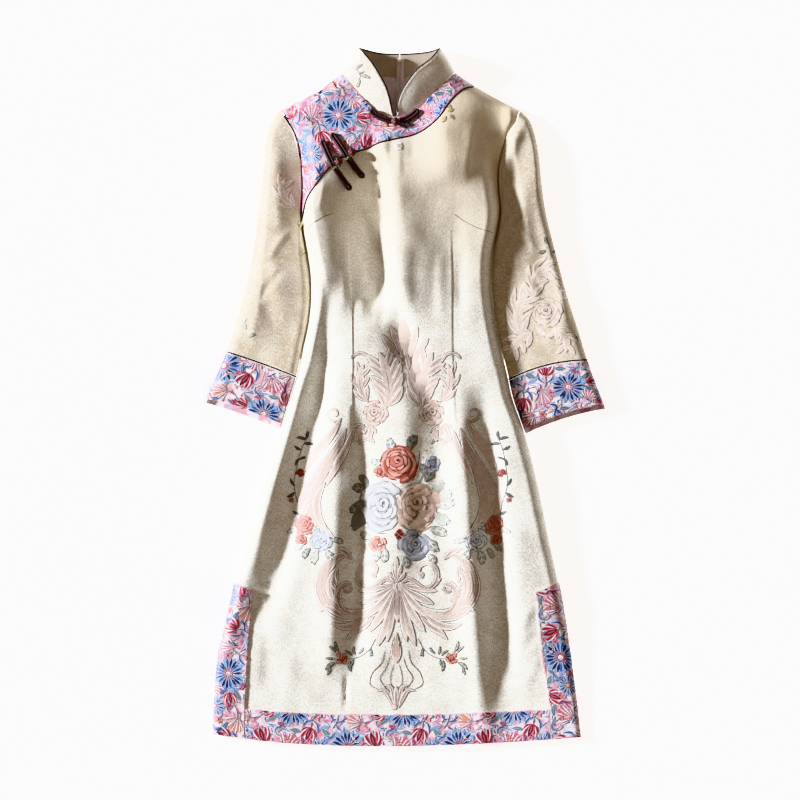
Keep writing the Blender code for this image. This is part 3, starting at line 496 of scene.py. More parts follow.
def flatUp(grid):
    return np.broadcast_to((0, 0, 1.0), grid.shape)


def columnPlaces(y, finer):
    # (x, reach) of the front's columns: rolled edges, band lines and dart lines
    roll = body("roll", y)
    left = body("left", y + hemLift(body("left", y), y))
    right = body("right", y + hemLift(body("right", y), y))
    bandLeft, bandRight = body("bandLeft", y), body("bandRight", y)
    dartLeft, dartRight = dartLine("left", y), dartLine("right", y)
    gap = 0.45  # each side of a dart's edge
    spans = (
        (left + roll, bandLeft, finer["edge"]), (bandLeft, dartLeft - gap, finer["outer"]),
        (dartLeft + gap, dartRight - gap, finer["middle"]),
        (dartRight + gap, bandRight, finer["outer"]), (bandRight, right - roll, finer["edge"]),
    )
    places = [left + roll * rollSteps[:-1]]
    for index, (start, end, count) in enumerate(spans):
        inside = np.linspace(start, end, count + 1)
        places.append(inside if index in (0, 2) else inside[(0 if index == 3 else 1):])
    x = np.concatenate(places)
    x = np.r_[x, right - roll * rollSteps[::-1][1:]]
    reach = np.ones(len(x))
    reach[: len(rollSteps)] = rollSteps
    reach[-len(rollSteps):] = rollSteps[::-1]
    return x, reach


frontFine = {"edge": 10, "outer": 16, "middle": 66, "skirtRows": 176, "bodiceRows": 52}
bandColumn = len(rollSteps) - 1 + frontFine["edge"]


def levelRows(levels):
    rows = []
    for level in levels:
        x, reach = columnPlaces(level, frontFine)
        y = level + hemLift(x, level)
        rows.append(np.stack([x, y, frontHeight(x, y, reach)], axis=-1))
    return np.array(rows)


def leftOf(line):
    # the unit direction to the left of each point of a line
    along = normalised(np.gradient(line, axis=0))
    return np.stack([-along[:, 1], along[:, 0]], axis=-1)


def movedAcross(line, distance):
    return line + distance * leftOf(line)


def edgeBetween(low, high, xAt):
    # a side edge for a patch: its levels run from low to high
    def edge(t):
        y = low + t * (high - low)
        return np.array([xAt(y), y])

    return edge


def patch(foot, head, leftSide, rightSide, rows):
    across = np.linalg.norm(np.diff(foot, axis=0), axis=1)
    u = np.r_[0, np.cumsum(across)] / across.sum()
    grid = []
    for t in np.linspace(0, 1, rows + 1):
        line = (1 - t) * foot + t * head
        leftOff, rightOff = leftSide(t) - line[0], rightSide(t) - line[-1]
        grid.append(line + np.outer(1 - u, leftOff) + np.outer(u, rightOff))
    return np.array(grid)


def withHeight(plan, rightRolls):
    x, y = plan[..., 0], plan[..., 1]
    reach = np.clip(np.minimum(x - body("left", y), body("right", y) - x) / body("roll", y), 0, 1)
    reach[:, 0] = 0
    if rightRolls:
        reach[:, -1] = 0
    return np.concatenate([plan, frontHeight(x, y, reach)[..., None]], axis=-1)


def frontGrid():
    foot = cloth["bodiceFoot"]
    levels = np.r_[np.linspace(0, 46, 14)[:-1], np.linspace(46, foot, frontFine["skirtRows"])[:-1]]
    low = levelRows(levels)
    x, _ = columnPlaces(foot, frontFine)
    corner = int(np.argmin(np.abs(x - (body("bandRight", foot) - 4))))
    at = (x[: corner + 1] - x[0]) / (x[corner] - x[0])
    seam = movedAcross(curvePoints(yokeLine, at), -cloth["pipedSeam"] / 2)
    at = (x[corner:] - x[corner]) / (x[-1] - x[corner])
    shoulder = curvePoints(rightShoulder[::-1][1:], at)
    seam[-1] = shoulder[0] + (0.9, -2.2)
    head = np.concatenate([seam, shoulder[1:]])
    head[0, 0] = body("left", head[0, 1])

    leftSide = edgeBetween(foot, head[0, 1], lambda y: body("left", y))
    rightSide = edgeBetween(foot, head[-1, 1], lambda y: body("right", y))
    start = np.stack([x, np.full(len(x), foot)], axis=-1)
    rows = withHeight(patch(start, head, leftSide, rightSide, frontFine["bodiceRows"]), True)
    return np.concatenate([low, rows]), levels


yokeFine = {"across": 118, "rows": 44, "sideSeam": 765.0}


def yokeGrid():
    seamAt = np.linspace(0, 1, yokeFine["across"])
    foot = movedAcross(curvePoints(yokeLine, seamAt), cloth["pipedSeam"] / 2)
    foot[0] = body("left", yokeFine["sideSeam"]), yokeFine["sideSeam"]
    foot[1] = (foot[0] + foot[2]) / 2
    foot[-1] = np.array(rightShoulder[2]) + (-1.4, 1.0)
    length = runOf(foot)
    side = int(np.argmin(np.linalg.norm(foot - (-99.4, 827.7), axis=1)))
    middle = int(np.argmin(np.linalg.norm(foot - (-0.9, 871.6), axis=1)))

    def share(first, last):
        return (length[first : last + 1] - length[first]) / (length[last] - length[first])

    head = np.concatenate([
        curvePoints(leftShoulder, share(0, side)),
        curvePoints(leftNeck[::-1], share(side, middle))[1:],
        curvePoints(rightNeck, share(middle, len(foot) - 1))[1:],
    ])

    leftSide = edgeBetween(foot[0, 1], head[0, 1], lambda y: body("left", y))

    def rightSide(t):
        return (1 - t) * foot[-1] + t * head[-1]

    return withHeight(patch(foot, head, leftSide, rightSide, yokeFine["rows"]), False)


# Finishes. Most read the cloth's own UV, which is in metres along the cloth; the figures read their own
# tint.

def feed(tree, node, values):
    # each value is a number, a colour, or the socket that it comes from
    for key, value in values.items():
        socket = node.inputs[key]
        if isinstance(value, bpy.types.NodeSocket):
            tree.links.new(value, socket)
        elif socket.type == "RGBA":
            socket.default_value = (*value, 1)
        else:
            socket.default_value = value


def addNode(tree, kind, values=None, **settings):
    node = tree.nodes.new(kind)
    for key, value in settings.items():
        setattr(node, key, value)
    feed(tree, node, values or {})
    return node


def newGroup(name, inputs, outputs, kind="ShaderNodeTree"):
    group = bpy.data.node_groups.new(name, kind)
    for way, rows in (("INPUT", inputs), ("OUTPUT", outputs)):
        for label, sort, *start in rows:
            socket = group.interface.new_socket(label, in_out=way, socket_type="NodeSocket" + sort)
            if start:
                socket.default_value = start[0]
    return group, addNode(group, "NodeGroupInput").outputs, addNode(group, "NodeGroupOutput")


def noiseAt(tree, place, scale, detail=3.0, roughness=0.6):
    values = {"Vector": place, "Scale": scale, "Detail": detail, "Roughness": roughness}
    return addNode(tree, "ShaderNodeTexNoise", values).outputs["Fac"]


def stretched(tree, place, scale, shift=(0, 0, 0)):
    values = {"Vector": place, "Scale": scale, "Location": shift}
    return addNode(tree, "ShaderNodeMapping", values).outputs["Vector"]


def between(tree, value, low, high, toLow=0.0, toHigh=1.0):
    values = {"Value": value, "From Min": low, "From Max": high, "To Min": toLow, "To Max": toHigh}
    return addNode(tree, "ShaderNodeMapRange", values, interpolation_type="SMOOTHSTEP").outputs["Result"]


def worked(tree, operation, *values):
    return addNode(tree, "ShaderNodeMath", dict(enumerate(values)), operation=operation).outputs["Value"]


def times(tree, first, second):
    return worked(tree, "MULTIPLY", first, second)


def mixed(tree, amount, first, second, blend="MIX"):
    values = {0: amount, 6: first, 7: second}
    return addNode(tree, "ShaderNodeMix", values, data_type="RGBA", blend_type=blend).outputs[2]


def makeJacquard():
    # figured silk: a mottled beige figure on a light ground, with a fine woven grain
    group, given, made = newGroup(
        "jacquard cloth",
        (("Place", "Vector"), ("Light", "Color"), ("Figure", "Color"), ("Strength", "Float", 0.5),
         ("Aged", "Color")),
        (("Color", "Color"), ("Roughness", "Float"), ("Height", "Float")),
    )
    place = given["Place"]
    bend = addNode(group, "ShaderNodeTexNoise", {"Vector": place, "Scale": 62}).outputs["Color"]
    shift = addNode(group, "ShaderNodeMixRGB", {0: 0.016, 1: place, 2: bend}, blend_type="LINEAR_LIGHT")
    values = {"Vector": shift.outputs["Color"], "Scale": 105, "Smoothness": 0.35}
    figure = addNode(group, "ShaderNodeTexVoronoi", values, feature="SMOOTH_F1")
    shape = between(group, figure.outputs["Distance"], 0.34, 0.5)
    broad = between(group, noiseAt(group, place, 34, 2), 0.38, 0.62)
    grain = noiseAt(group, stretched(group, place, (1.0, 0.62, 1.0)), 560, 3, 0.85)
    figureMask = times(group, times(group, shape, broad), given["Strength"])
    amount = times(group, figureMask, between(group, grain, 0.3, 0.62, 0.35, 1.0))
    aging = between(group, noiseAt(group, place, 9, 2), 0.35, 0.75, 0.0, 0.28)
    ground = mixed(group, aging, given["Light"], given["Aged"])
    specks = mixed(group, between(group, grain, 0.47, 0.59), ground, given["Figure"])
    feed(group, made, {
        "Color": mixed(group, amount, specks, given["Figure"]),
        "Roughness": between(group, figureMask, 0, 1, 0.56, 0.44),
        "Height": worked(group, "ADD", times(group, grain, 0.6), times(group, shape, 0.25)),
    })
    return group


def makeThread():
    # twisted cord: U goes round it and V along it. The ridges of the twist take the lighter colour, a
    # painted sheen.
    group, given, made = newGroup(
        "twisted cord",
        (("Place", "Vector"), ("Dark", "Color"), ("Bright", "Color"), ("Pitch", "Float", 2600.0)),
        (("Color", "Color"), ("Height", "Float")),
    )
    parts = addNode(group, "ShaderNodeSeparateXYZ", {0: given["Place"]}).outputs
    turn = worked(group, "ADD", times(group, parts["Y"], given["Pitch"]),
        times(group, parts["X"], 2000.0))
    wave = worked(group, "MULTIPLY_ADD", worked(group, "SINE", turn), 0.5, 0.5)
    fuzz = noiseAt(group, given["Place"], 700, 3)
    amount = times(group, wave, between(group, fuzz, 0.3, 0.7, 0.3, 1.0))
    feed(group, made, {"Color": mixed(group, amount, given["Dark"], given["Bright"]),
        "Height": worked(group, "ADD", wave, times(group, fuzz, 0.3))})
    return group


groups = {"jacquard": makeJacquard(), "thread": makeThread()}


def newMaterial(name):
    made = bpy.data.materials.new(name)
    made.use_nodes = True
    return made, made.node_tree


def clothPlace(tree):
    return addNode(tree, "ShaderNodeUVMap", uv_map="cloth").outputs["UV"]


def finished(made, looks, height, strength=0.4, depth=0.0003):
    # the shader's own values, and the relief of the threads
    tree = made.node_tree
    bump = addNode(tree, "ShaderNodeBump", {"Strength": strength, "Distance": depth, "Height": height})
    feed(tree, tree.nodes["Principled BSDF"], {**looks, "Normal": bump.outputs["Normal"]})
    return made


def jacquardFinish(name, light, figure, aged, strength, warm=None):
    made, tree = newMaterial(name)
    light = tone(*light)
    if warm:
        # painted shade: the bodice is darkened and warmed towards its top and its right side, where less
        # light falls
        spot = addNode(tree, "ShaderNodeTexCoord").outputs["Object"]
        parts = addNode(tree, "ShaderNodeSeparateXYZ", {0: spot}).outputs
        height = between(tree, parts["Y"], 0.06, 0.36)
        side = between(tree, parts["X"], -0.16, 0.13, 0.45, 1.0)
        light = mixed(tree, times(tree, height, side), light, tone(*warm))
    values = {"Place": clothPlace(tree), "Light": light, "Figure": tone(*figure), "Aged": tone(*aged),
        "Strength": strength}
    woven = addNode(tree, "ShaderNodeGroup", values, node_tree=groups["jacquard"]).outputs
    looks = {"Base Color": woven["Color"], "Roughness": woven["Roughness"], "Sheen Weight": 0.15,
        "Specular IOR Level": 0.35}
    return finished(made, looks, woven["Height"], depth=0.0005)


def cordFinish(name, dark, bright, roughness):
    made, tree = newMaterial(name)
    values = {"Place": clothPlace(tree), "Dark": tone(*dark), "Bright": tone(*bright)}
    spun = addNode(tree, "ShaderNodeGroup", values, node_tree=groups["thread"]).outputs
    return finished(made, {"Base Color": spun["Color"], "Roughness": roughness}, spun["Height"], 0.7)


def plainCloth(name, base, second, roughness, scale=(1, 1, 1), grain=1100, sheen=0.1):
    made, tree = newMaterial(name)
    place = clothPlace(tree)
    fine = noiseAt(tree, stretched(tree, place, scale), grain, 3, 0.7)
    broad = between(tree, noiseAt(tree, place, 22, 2), 0.35, 0.65, 0.0, 0.5)
    amount = worked(tree, "ADD", times(tree, between(tree, fine, 0.3, 0.7), 0.5), broad)
    colour = mixed(tree, amount, tone(*base), tone(*second))
    return finished(made, {"Base Color": colour, "Roughness": roughness, "Sheen Weight": sheen}, fine)


def trimGround(name, offset, pale, rose):
    # white ground of the floral trim, blotched with pink and pale blue
    made, tree = newMaterial(name)
    place = stretched(tree, clothPlace(tree), (1, 1, 1), (*offset, 0))
    grain = noiseAt(tree, place, 1000, 2, 0.75)
    blot = between(tree, noiseAt(tree, place, 52, 3), 0.44, 0.56)
    other = between(tree, noiseAt(tree, stretched(tree, place, (1.4, 0.9, 1)), 38, 3), 0.56, 0.66)
    colour = mixed(tree, times(tree, blot, 0.95), tone(*pale), tone(*rose))
    colour = mixed(tree, times(tree, other, 0.8), colour, tone(190, 200, 222))
    colour = mixed(tree, between(tree, grain, 0.35, 0.7, 0.0, 0.35), colour, tone(196, 160, 172))
    return finished(made, {"Base Color": colour, "Roughness": 0.55}, grain)


def printFinish(name, dark, light):
    # woven threads of a figure: each stroke brings its own tint
    made, tree = newMaterial(name)
    tint = addNode(tree, "ShaderNodeAttribute", attribute_name="tint").outputs["Color"]
    spot = addNode(tree, "ShaderNodeTexCoord").outputs["Object"]
    fine = noiseAt(tree, spot, 680, 3, 0.8)
    broad = between(tree, noiseAt(tree, spot, 160, 2), 0.3, 0.7, 0.9, 1.06)
    shade = times(tree, between(tree, fine, 0.36, 0.64, dark, light), broad)
    grey = addNode(tree, "ShaderNodeCombineColor", {0: shade, 1: shade, 2: shade}).outputs["Color"]
    colour = mixed(tree, 1.0, tint, grey, "MULTIPLY")
    looks = {"Base Color": colour, "Roughness": 0.5, "Sheen Weight": 0.1}
    return finished(made, looks, fine, depth=0.0002)


finishes = {
    # the body's last colour is the painted shade of its upper bodice
    "body": jacquardFinish("body jacquard", (252, 254, 248), (206, 196, 178), (248, 249, 242), 0.6,
                           (226, 208, 178)),
    "sleeve": jacquardFinish("sleeve jacquard", (224, 216, 202), (188, 170, 140), (230, 222, 208), 0.75),
    "collar": jacquardFinish("collar jacquard", (249, 247, 242), (214, 200, 176), (241, 236, 226), 0.6),
    # each cord's second colour is painted sheen on the ridges of its twist
    "cord": cordFinish("dark satin cord", (32, 12, 14), (66, 28, 28), 0.62),
    "knot": cordFinish("knot cord", (52, 18, 18), (122, 54, 46), 0.5),
    "lining": plainCloth("mauve lining", (240, 232, 238), (226, 212, 220), 0.6),
    "satin": plainCloth("facing satin", (204, 192, 178), (176, 162, 148), 0.3, (1, 0.1, 1), 600),
    "tape": plainCloth("zip tape cloth", (240, 230, 228), (222, 210, 208), 0.65, (1, 4, 1)),
    "metal": plainCloth("zip lacquer", (232, 226, 214), (206, 198, 184), 0.3, (1, 1, 1), 300, 0),
    "thread": plainCloth("sewing thread", (226, 216, 204), (190, 176, 164), 0.5, (1, 1, 1), 1500),
    "print": printFinish("trim print", 0.64, 1.02),
    "figure": printFinish("woven figure", 0.74, 1.14),
    "yoke": trimGround("yoke ground", (0.011, 0.034), (204, 186, 198), (168, 88, 114)),
    "left": trimGround("left band ground", (0.0, 0.0), (240, 236, 238), (206, 150, 168)),
    "right": trimGround("right band ground", (0.052, 0.081), (240, 236, 238), (206, 150, 168)),
    "hem": trimGround("hem band ground", (0.031, 0.027), (236, 226, 234), (210, 132, 158)),
    "cuffs": trimGround("cuff ground", (0.073, 0.012), (247, 245, 246), (216, 166, 182)),
}
print("finishes made")


# The front of the dress in one piece, with the yoke above its slanting seam

front, levels = frontGrid()
frontNormals = upward(front)
frontPanel = clothShell("frontCloth", front, cloth["wall"], finishes["body"], frontNormals)
yokeFace = yokeGrid()
yokePiece = clothShell("yokeCloth", yokeFace, cloth["wall"], finishes["yoke"], upward(yokeFace))
print("front", len(frontPanel.data.polygons), "faces")


# Floral bands: down both side edges, and along the hem between them

bands = {}
bandTop = int(np.searchsorted(levels, 236.5))
hemTop = int(np.searchsorted(levels, 46.01))
bandSlant = {"left": 12.0, "right": 14.0}
for name, grid, normals in (
    ("left", front[:bandTop, : bandColumn + 1], frontNormals[:bandTop, : bandColumn + 1]),
    ("right", front[:bandTop, -bandColumn - 1 :], frontNormals[:bandTop, -bandColumn - 1 :]),
    ("hem", front[:hemTop, bandColumn:-bandColumn], frontNormals[:hemTop, bandColumn:-bandColumn]),
):
    lifted = grid + normals * (cloth["rest"] + cloth["trim"])
    if name == "hem":
        lifted[:, 0, 0] += cloth["seam"]
        lifted[:, -1, 0] -= cloth["seam"]
    else:
        seamColumn = bandColumn if name == "left" else 0
        run = np.abs(lifted[-1, :, 0] - lifted[-1, seamColumn, 0])
        slant = bandSlant[name] * (run / run.max() - 1)
        last = np.clip((np.arange(bandTop) - bandTop + 8) / 7, 0, 1)[:, None]
        lifted[..., 1] += slant * last
    piece = clothShell(name + "BandCloth", lifted, cloth["trim"], finishes[name], normals)
    bands[name] = piece, lifted, normals


# The back in two halves, the hem band behind, and the lining at the neck

backFolds = {
    -1: ((-30, 470, -62, 300, -96, 90, 0.9, 12, 16), (-90, 610, -84, 520, -92, 430, 0.6, 9, 12),
         (-58, 850, -66, 760, -60, 660, 0.7, 13, 9), (-150, 300, -166, 200, -176, 90, 0.8, 14, 11)),
    1: ((34, 520, 66, 330, 84, 110, 0.8, 15, 11), (100, 640, 92, 560, 98, 470, 0.6, 9, 9),
        (62, 870, 76, 790, 70, 690, 0.6, 10, 13), (140, 330, 160, 210, 182, 80, 0.9, 12, 15)),
}
neckBack = {-1: ((-78.9, 965), (-53, 960), (-20, 957.6), (4, 957)), 1: ((83.2, 966), (61.7, 960.2),
    (30, 957.6), (4, 957))}


backFine = {"halfWidth": 40, "neck": 17, "shoulder": 24, "rows": 150, "foot": 49.0, "tuck": 3.7,
    "tuckFrom": 545, "tuckTo": 885, "highest": 1.2}


def backGrid(side):
    name = "right" if side > 0 else "left"
    shoulder = rightShoulder if side > 0 else leftShoulder
    seam = cloth["centreBack"] + side * cloth["seam"] / 2
    inset = cloth["backInset"]
    edgeX = body(name, 60.0) - side * inset
    footX = np.linspace(seam, edgeX, backFine["halfWidth"])
    foot = np.c_[footX, hemLift(footX, backFine["foot"]) + backFine["foot"]]
    neck = curvePoints(neckBack[side][::-1], np.linspace(0, 1, backFine["neck"])) - (0, inset)
    neck[0, 0] = seam
    slope = curvePoints(shoulder[::-1], np.linspace(0, 0.96, backFine["shoulder"])) - (0, inset)
    head = np.concatenate([neck[:-1], slope])

    def outerX(y):
        # beside the sleeve the seam allowance shows a little way past the front
        fade = np.clip(min(y - backFine["tuckFrom"], backFine["tuckTo"] - y) / 25, 0, 1)
        tuck = (inset + backFine["tuck"]) * fade
        return body(name, y) + side * (tuck - inset)

    inner = edgeBetween(foot[0, 1], head[0, 1], lambda y: seam)
    outer = edgeBetween(foot[-1, 1], head[-1, 1], outerX)
    plan = patch(foot, head, inner, outer, backFine["rows"])
    x, y = plan[..., 0], plan[..., 1]
    calm = np.clip((np.abs(body(name, y) - x) - 12) / 20, 0, 1)
    calm = calm * np.clip((np.abs(x - 4) - 10) / 12, 0, 1) * np.clip((y - 55) / 40, 0, 1)
    rise = np.clip(foldsAt(backFolds[side], x, y), 0, backFine["highest"]) * calm
    return np.concatenate([plan, (rise + cloth["wall"])[..., None]], axis=-1)


for side, name in ((-1, "back_left"), (1, "back_right")):
    face = backGrid(side)
    dress(name, face, cloth["wall"], "body", flatUp(face))

u = np.linspace(0, 1, 120)
footX, headX = -261 + 523 * u, -260 + 517.2 * u
v = np.linspace(0, 1, 14)[:, None]
footY = hemLift(footX, 0.0) + cloth["backInset"]
headY = hemLift(headX, 49.0) + 49.0 - cloth["seam"]
rearBand = np.stack([(1 - v) * footX + v * headX, (1 - v) * footY + v * headY,
    np.full((14, 120), cloth["wall"])], axis=-1)
dress("hem_band_back", rearBand, cloth["wall"], "hem", flatUp(rearBand))
bands["rear"] = pieces["hem_band_back"], rearBand * (1, 1, 0), -flatUp(rearBand)

low = cloth["wall"] + cloth["rest"]
across = np.linspace(-47, 57, 53)
facingFoot = np.interp(across, (-53.0, -20.0, 4.0, 30.0, 61.7), (960.0, 957.6, 957.0, 957.6, 960.2))
rows = np.linspace(0, 1, 40)[:, None]
liningY = 884 + (facingFoot + 2.4 - 884) * rows
lap = np.clip((liningY - facingFoot + 5) / 4, 0, 1) * np.clip((np.abs(across - 5) - 6.5) / 3, 0, 1)
liningFace = np.stack([np.broadcast_to(across, liningY.shape), liningY, low + cloth["lining"] + 1.4 * lap
    * lap * (3 - 2 * lap)], axis=-1)
dress("lining_back_neck", liningFace, cloth["lining"], "lining", flatUp(liningFace))


# The concealed zip: its tape, the closed coil, and the slider with its pull

zipTape = {"x": 5.0, "width": 11.0, "foot": 450.0, "top": 987.0, "climb": (872.0, 880.0), "inside": 925.0,
    "rise": 1.6, "coil": 0.5}
under = cloth["wall"] + cloth["rest"]
over = under + cloth["lining"] + cloth["rest"]
tapeY = np.linspace(zipTape["foot"], zipTape["top"], 180)
tapeTop = cloth["lining"] + np.interp(tapeY, (zipTape["foot"], *zipTape["climb"], zipTape["inside"],
    zipTape["top"]), (under, under, over, over, over + zipTape["rise"]))
share = np.array([-0.5, -0.4, -0.28, -0.16, -0.12, -0.04, 0.04, 0.12, 0.16, 0.28, 0.4, 0.5])
ridge = zipTape["coil"] * np.array([0, 0, 0, 0.2, 1, 0.7, 0.7, 1, 0.2, 0, 0, 0])
shape = (len(tapeY), len(share))
tapeFace = np.stack([np.broadcast_to(zipTape["x"] + zipTape["width"] * share, shape),
    np.broadcast_to(tapeY[:, None], shape), tapeTop[:, None] + ridge], axis=-1)
dress("zip_tape", tapeFace, cloth["lining"], "tape", flatUp(tapeFace))


# Stand collar: leaves, satin facings and their cord

collarSize = {"roll": 12.0, "base": 21.0, "top": 38.0, "backBase": 0.3, "backTop": 2.0, "bulge": 1.6,
    "samples": 30, "front": 4.0, "overlap": 2.6, "gap": 0.6}
leaves = {
    -1: ((-8.3, 909), (-10.8, 925), (-15.8, 942.8), (-25.8, 961.9), (-37.7, 980.9),
         (-55.6, 1001.5)),
    1: ((1.9, 909), (2.4, 922.7), (7, 937.1), (18.1, 956), (30.1, 970.6),
        (47.9, 984), (63, 1001)),
}
leafBack = {-1: ((-55.6, 1001.5), (-42, 997), (-26, 993.2), (4, 991.5)), 1: ((63, 1001), (50, 996),
    (32, 993.2), (4, 991.5))}


def flatLine(lineFront, lineBack, rise, backRise):
    steps = (1 - np.cos(np.radians(np.linspace(90, 0, 9)))) * collarSize["roll"]
    places = []
    for line, height, turn in ((lineFront, rise, 1), (lineBack, backRise, -1)):
        length = runOf(curvePoints(line, np.linspace(0, 1, 40)))[-1]
        inner = np.linspace(0, 1 - collarSize["roll"] / length, collarSize["samples"])
        at = np.r_[inner, 1 - steps[1:] / length]
        if turn < 0:
            at = (1 - at)[::-1][1:]
            gap = at * length
        else:
            gap = (1 - at) * length
        plan = curvePoints(line, at)
        middle = (rise + backRise) / 2
        z = middle + (height - middle) * quarterRound(gap / collarSize["roll"])
        places.append(np.c_[plan, z])
    return np.concatenate(places)


def collarGrid(side, neck):
    samples = collarSize["samples"]
    neck = movedAcross(np.array(neck), side * cloth["seam"])
    neck[0] = (neck[0, 0] + side * collarSize["overlap"], leftNeck[0][1] + cloth["seam"] / 2)
    backNeck = np.array(neckBack[side])
    backNeck[:, 1] += cloth["seam"]
    backNeck[0] = neck[-1]
    backNeck[-1, 0] += side * cloth["seam"] / 2
    backTop = np.array(leafBack[side])
    backTop[-1, 0] += side * cloth["seam"] / 2
    base = flatLine(neck, backNeck, collarSize["base"], collarSize["backBase"])
    top = flatLine(leaves[side], backTop, collarSize["top"], collarSize["backTop"])
    away = np.linspace(0, 1, samples)
    lowest = collarSize["base"] + collarSize["front"]
    top[:samples, 2] = lowest + (collarSize["top"] - lowest) * away * (2 - away)
    steps = np.linspace(0, 1, 14)[:, None, None]
    grid = (1 - steps) * base + steps * top
    tall = np.linalg.norm(top - base, axis=1)[None, :, None]
    bulge = np.sin(np.pi * steps) * collarSize["bulge"] * np.clip(tall / 40 - 0.3, 0, 1)
    grid = grid + upward(grid) * bulge
    grid[..., 2] = np.maximum(grid[..., 2], collarSize["backBase"])
    return grid


collarGrids = {}
for side, name, neck in ((-1, "left", leftNeck), (1, "right", rightNeck)):
    grid = collarGrid(side, neck)
    normals = upward(grid)
    normals[:, 0], normals[:, -1] = normals[:, 1], normals[:, -2]
    collarGrids[name] = grid, normals
    dress("collar_" + name, grid, cloth["trim"], "collar", normals)
    inside = grid - normals * (cloth["trim"] + collarSize["gap"])
    dress("collar_facing_" + name, inside, cloth["lining"], "satin", normals)
    middle = (cloth["trim"] + collarSize["gap"] + cloth["lining"]) / 2
    thick = cloth["pipe"] + 0.1
    line = grid[-1] + normalised(grid[-1] - grid[-2]) * thick - normals[-1] * middle
    corded("collar_piping_" + name, line, thick)


# Sleeves and cuffs: flattened tubes beside the body

sleeveRows = {
    -1: ((-167.5, 912, 762, 14, 1), (-181, 889, 756, 15, 0.8),
         (-188.6, 849, 745, 16, 0.55), (-194.5, 796, 728, 17, 0.3),
         (-201.5, 740, 704, 18, 0.1), (-210, 687, 668, 18, 0),
         (-221, 640, 625, 18, 0), (-232.6, 600, 578, 18, 0),
         (-243.6, 567.2, 532, 16, -0.02)),
    1: ((177.6, 911.6, 757, 14, 1), (192.6, 893, 751, 15, 0.8),
        (202.5, 855, 741, 16, 0.55), (207.5, 808, 726, 17, 0.3),
        (213.8, 765, 708, 18, 0.1), (226, 715, 680, 18, 0),
        (242.5, 652, 635, 18, 0), (260, 597, 575, 17, 0),
        (272.4, 555.8, 528, 16, -0.1)),
}
cuffRows = {
    -1: ((-244.5, 564.6, 528.6, 16.5, -0.02), (-258.8, 531, 495, 16, -0.03),
         (-273, 499.4, 462, 14, -0.03)),
    1: ((273.6, 552.9, 525, 16.5, -0.1), (284.6, 522, 490, 16, -0.08),
        (296.5, 491, 455, 14, -0.06)),
}
sleeveSize = {"roll": 0.75, "middle": 0.45, "head": 911.5, "rings": 96, "cuffRings": 20, "drop": 7.0,
    "pipedFrom": 846.0, "across": 34}


def tubeRings(table, side, count, folds):
    stations = np.arange(len(table))
    steps = 1 - np.cos(np.radians(np.linspace(0, 90, 8)))
    column = "right" if side > 0 else "left"
    armholeY = np.linspace(sleeveSize["head"], table[0][2], 40)
    armhole = np.c_[body(column, armholeY), armholeY]
    rings = []
    for station in np.linspace(0, len(table) - 1, count):
        outerX, outerY, innerY, rise, bow = (
            float(smooth(stations, [row[i] for row in table], station)) for i in range(5)
        )
        outer = np.array([outerX, outerY])
        inner = np.array([body(column, innerY) + side * (cloth["seam"] + 0.5), innerY])
        length = np.linalg.norm(inner - outer)
        roll = sleeveSize["roll"] * rise
        ends = steps * roll / length
        inside = np.linspace(ends[-1], 1 - ends[-1], sleeveSize["across"])[1:-1]
        v = np.r_[ends, inside, 1 - ends[::-1]]
        line = outer + np.outer(v, inner - outer)
        if bow >= 0:
            seam = curvePoints(armhole, v)
            line = line + bow * (seam - seam[0] - np.outer(v, seam[-1] - seam[0]))
            piped = (side < 0) & (line[:, 1] > sleeveSize["pipedFrom"])
            wide = np.where(piped, cloth["pipedSeam"] + 0.3, cloth["seam"])
            line[:, 0] += side * bow * wide * np.clip(v * 8, 0.3, 1)
        else:
            unit = (inner - outer) / length
            bend = -bow * length * 4 * v * (1 - v) * 0.6
            line = line + np.outer(bend, (-unit[1], unit[0])) * (1 if side < 0 else -1)
        gap = np.minimum(v, 1 - v) * length
        middle = sleeveSize["middle"] * rise
        roundOff = quarterRound(gap / roll)
        lumps = (foldsAt(folds, line[:, 0], line[:, 1]) + (softWaves(line[:, 0], line[:, 1]) if folds
            else 0)) * roundOff
        face = np.c_[line, middle + (rise - middle) * roundOff + lumps]
        face[:, 2] = np.maximum(face[:, 2], middle * 0.6)
        back = np.c_[line, middle * (1 - roundOff)]
        rings.append(np.concatenate([face, back[-2:0:-1]]))
    return np.array(rings)


cuffGrids, sleeveOutlines = {}, {}
for side, name in ((-1, "left"), (1, "right")):
    rings = tubeRings(sleeveRows[side], side, sleeveSize["rings"], sleeveFolds)
    normals = upward(rings, wrap=True)
    dress("sleeve_" + name, rings, cloth["wall"], "sleeve", normals, True)
    cuff = tubeRings(cuffRows[side], side, sleeveSize["cuffRings"], ())
    around = cuff.shape[1]
    sleeveOutlines["sleeve_" + name] = np.concatenate([rings[:, 0, :2], rings[::-1, around // 2, :2]])
    drop = np.linspace(0, 1, len(cuff))[:, None] ** 2
    down = normalised((cuff[-1].mean(axis=0) - cuff[0].mean(axis=0)) * (1, 1, 0))
    share = np.zeros(around)
    share[around // 2 + 1 :] = 1
    cuff = cuff + (drop * share * sleeveSize["drop"])[..., None] * down
    cuffNormals = upward(cuff, wrap=True)
    dress("cuff_" + name, cuff, cloth["wall"], "cuffs", cuffNormals, True)
    # the grid closed round the cuff, for what is laid on it
    cuffGrids[name] = [np.concatenate([g, g[:, :1]], axis=1) for g in (cuff, cuffNormals)]
    joint = (rings[-1] + cuff[0]) / 2 - (normals[-1] + cuffNormals[0]) / 2 * cloth["pipeSink"]
    joint[:, 2] = np.maximum(joint[:, 2], cloth["pipe"] + 0.1)
    corded("cuff_piping_" + name, joint, cloth["cord"], True)
pieces.update(front_panel=frontPanel, yoke=yokePiece, side_band_left=bands["left"][0],
    side_band_right=bands["right"][0], hem_band_front=bands["hem"][0])


# Cords in the yoke's seam and down the left armhole

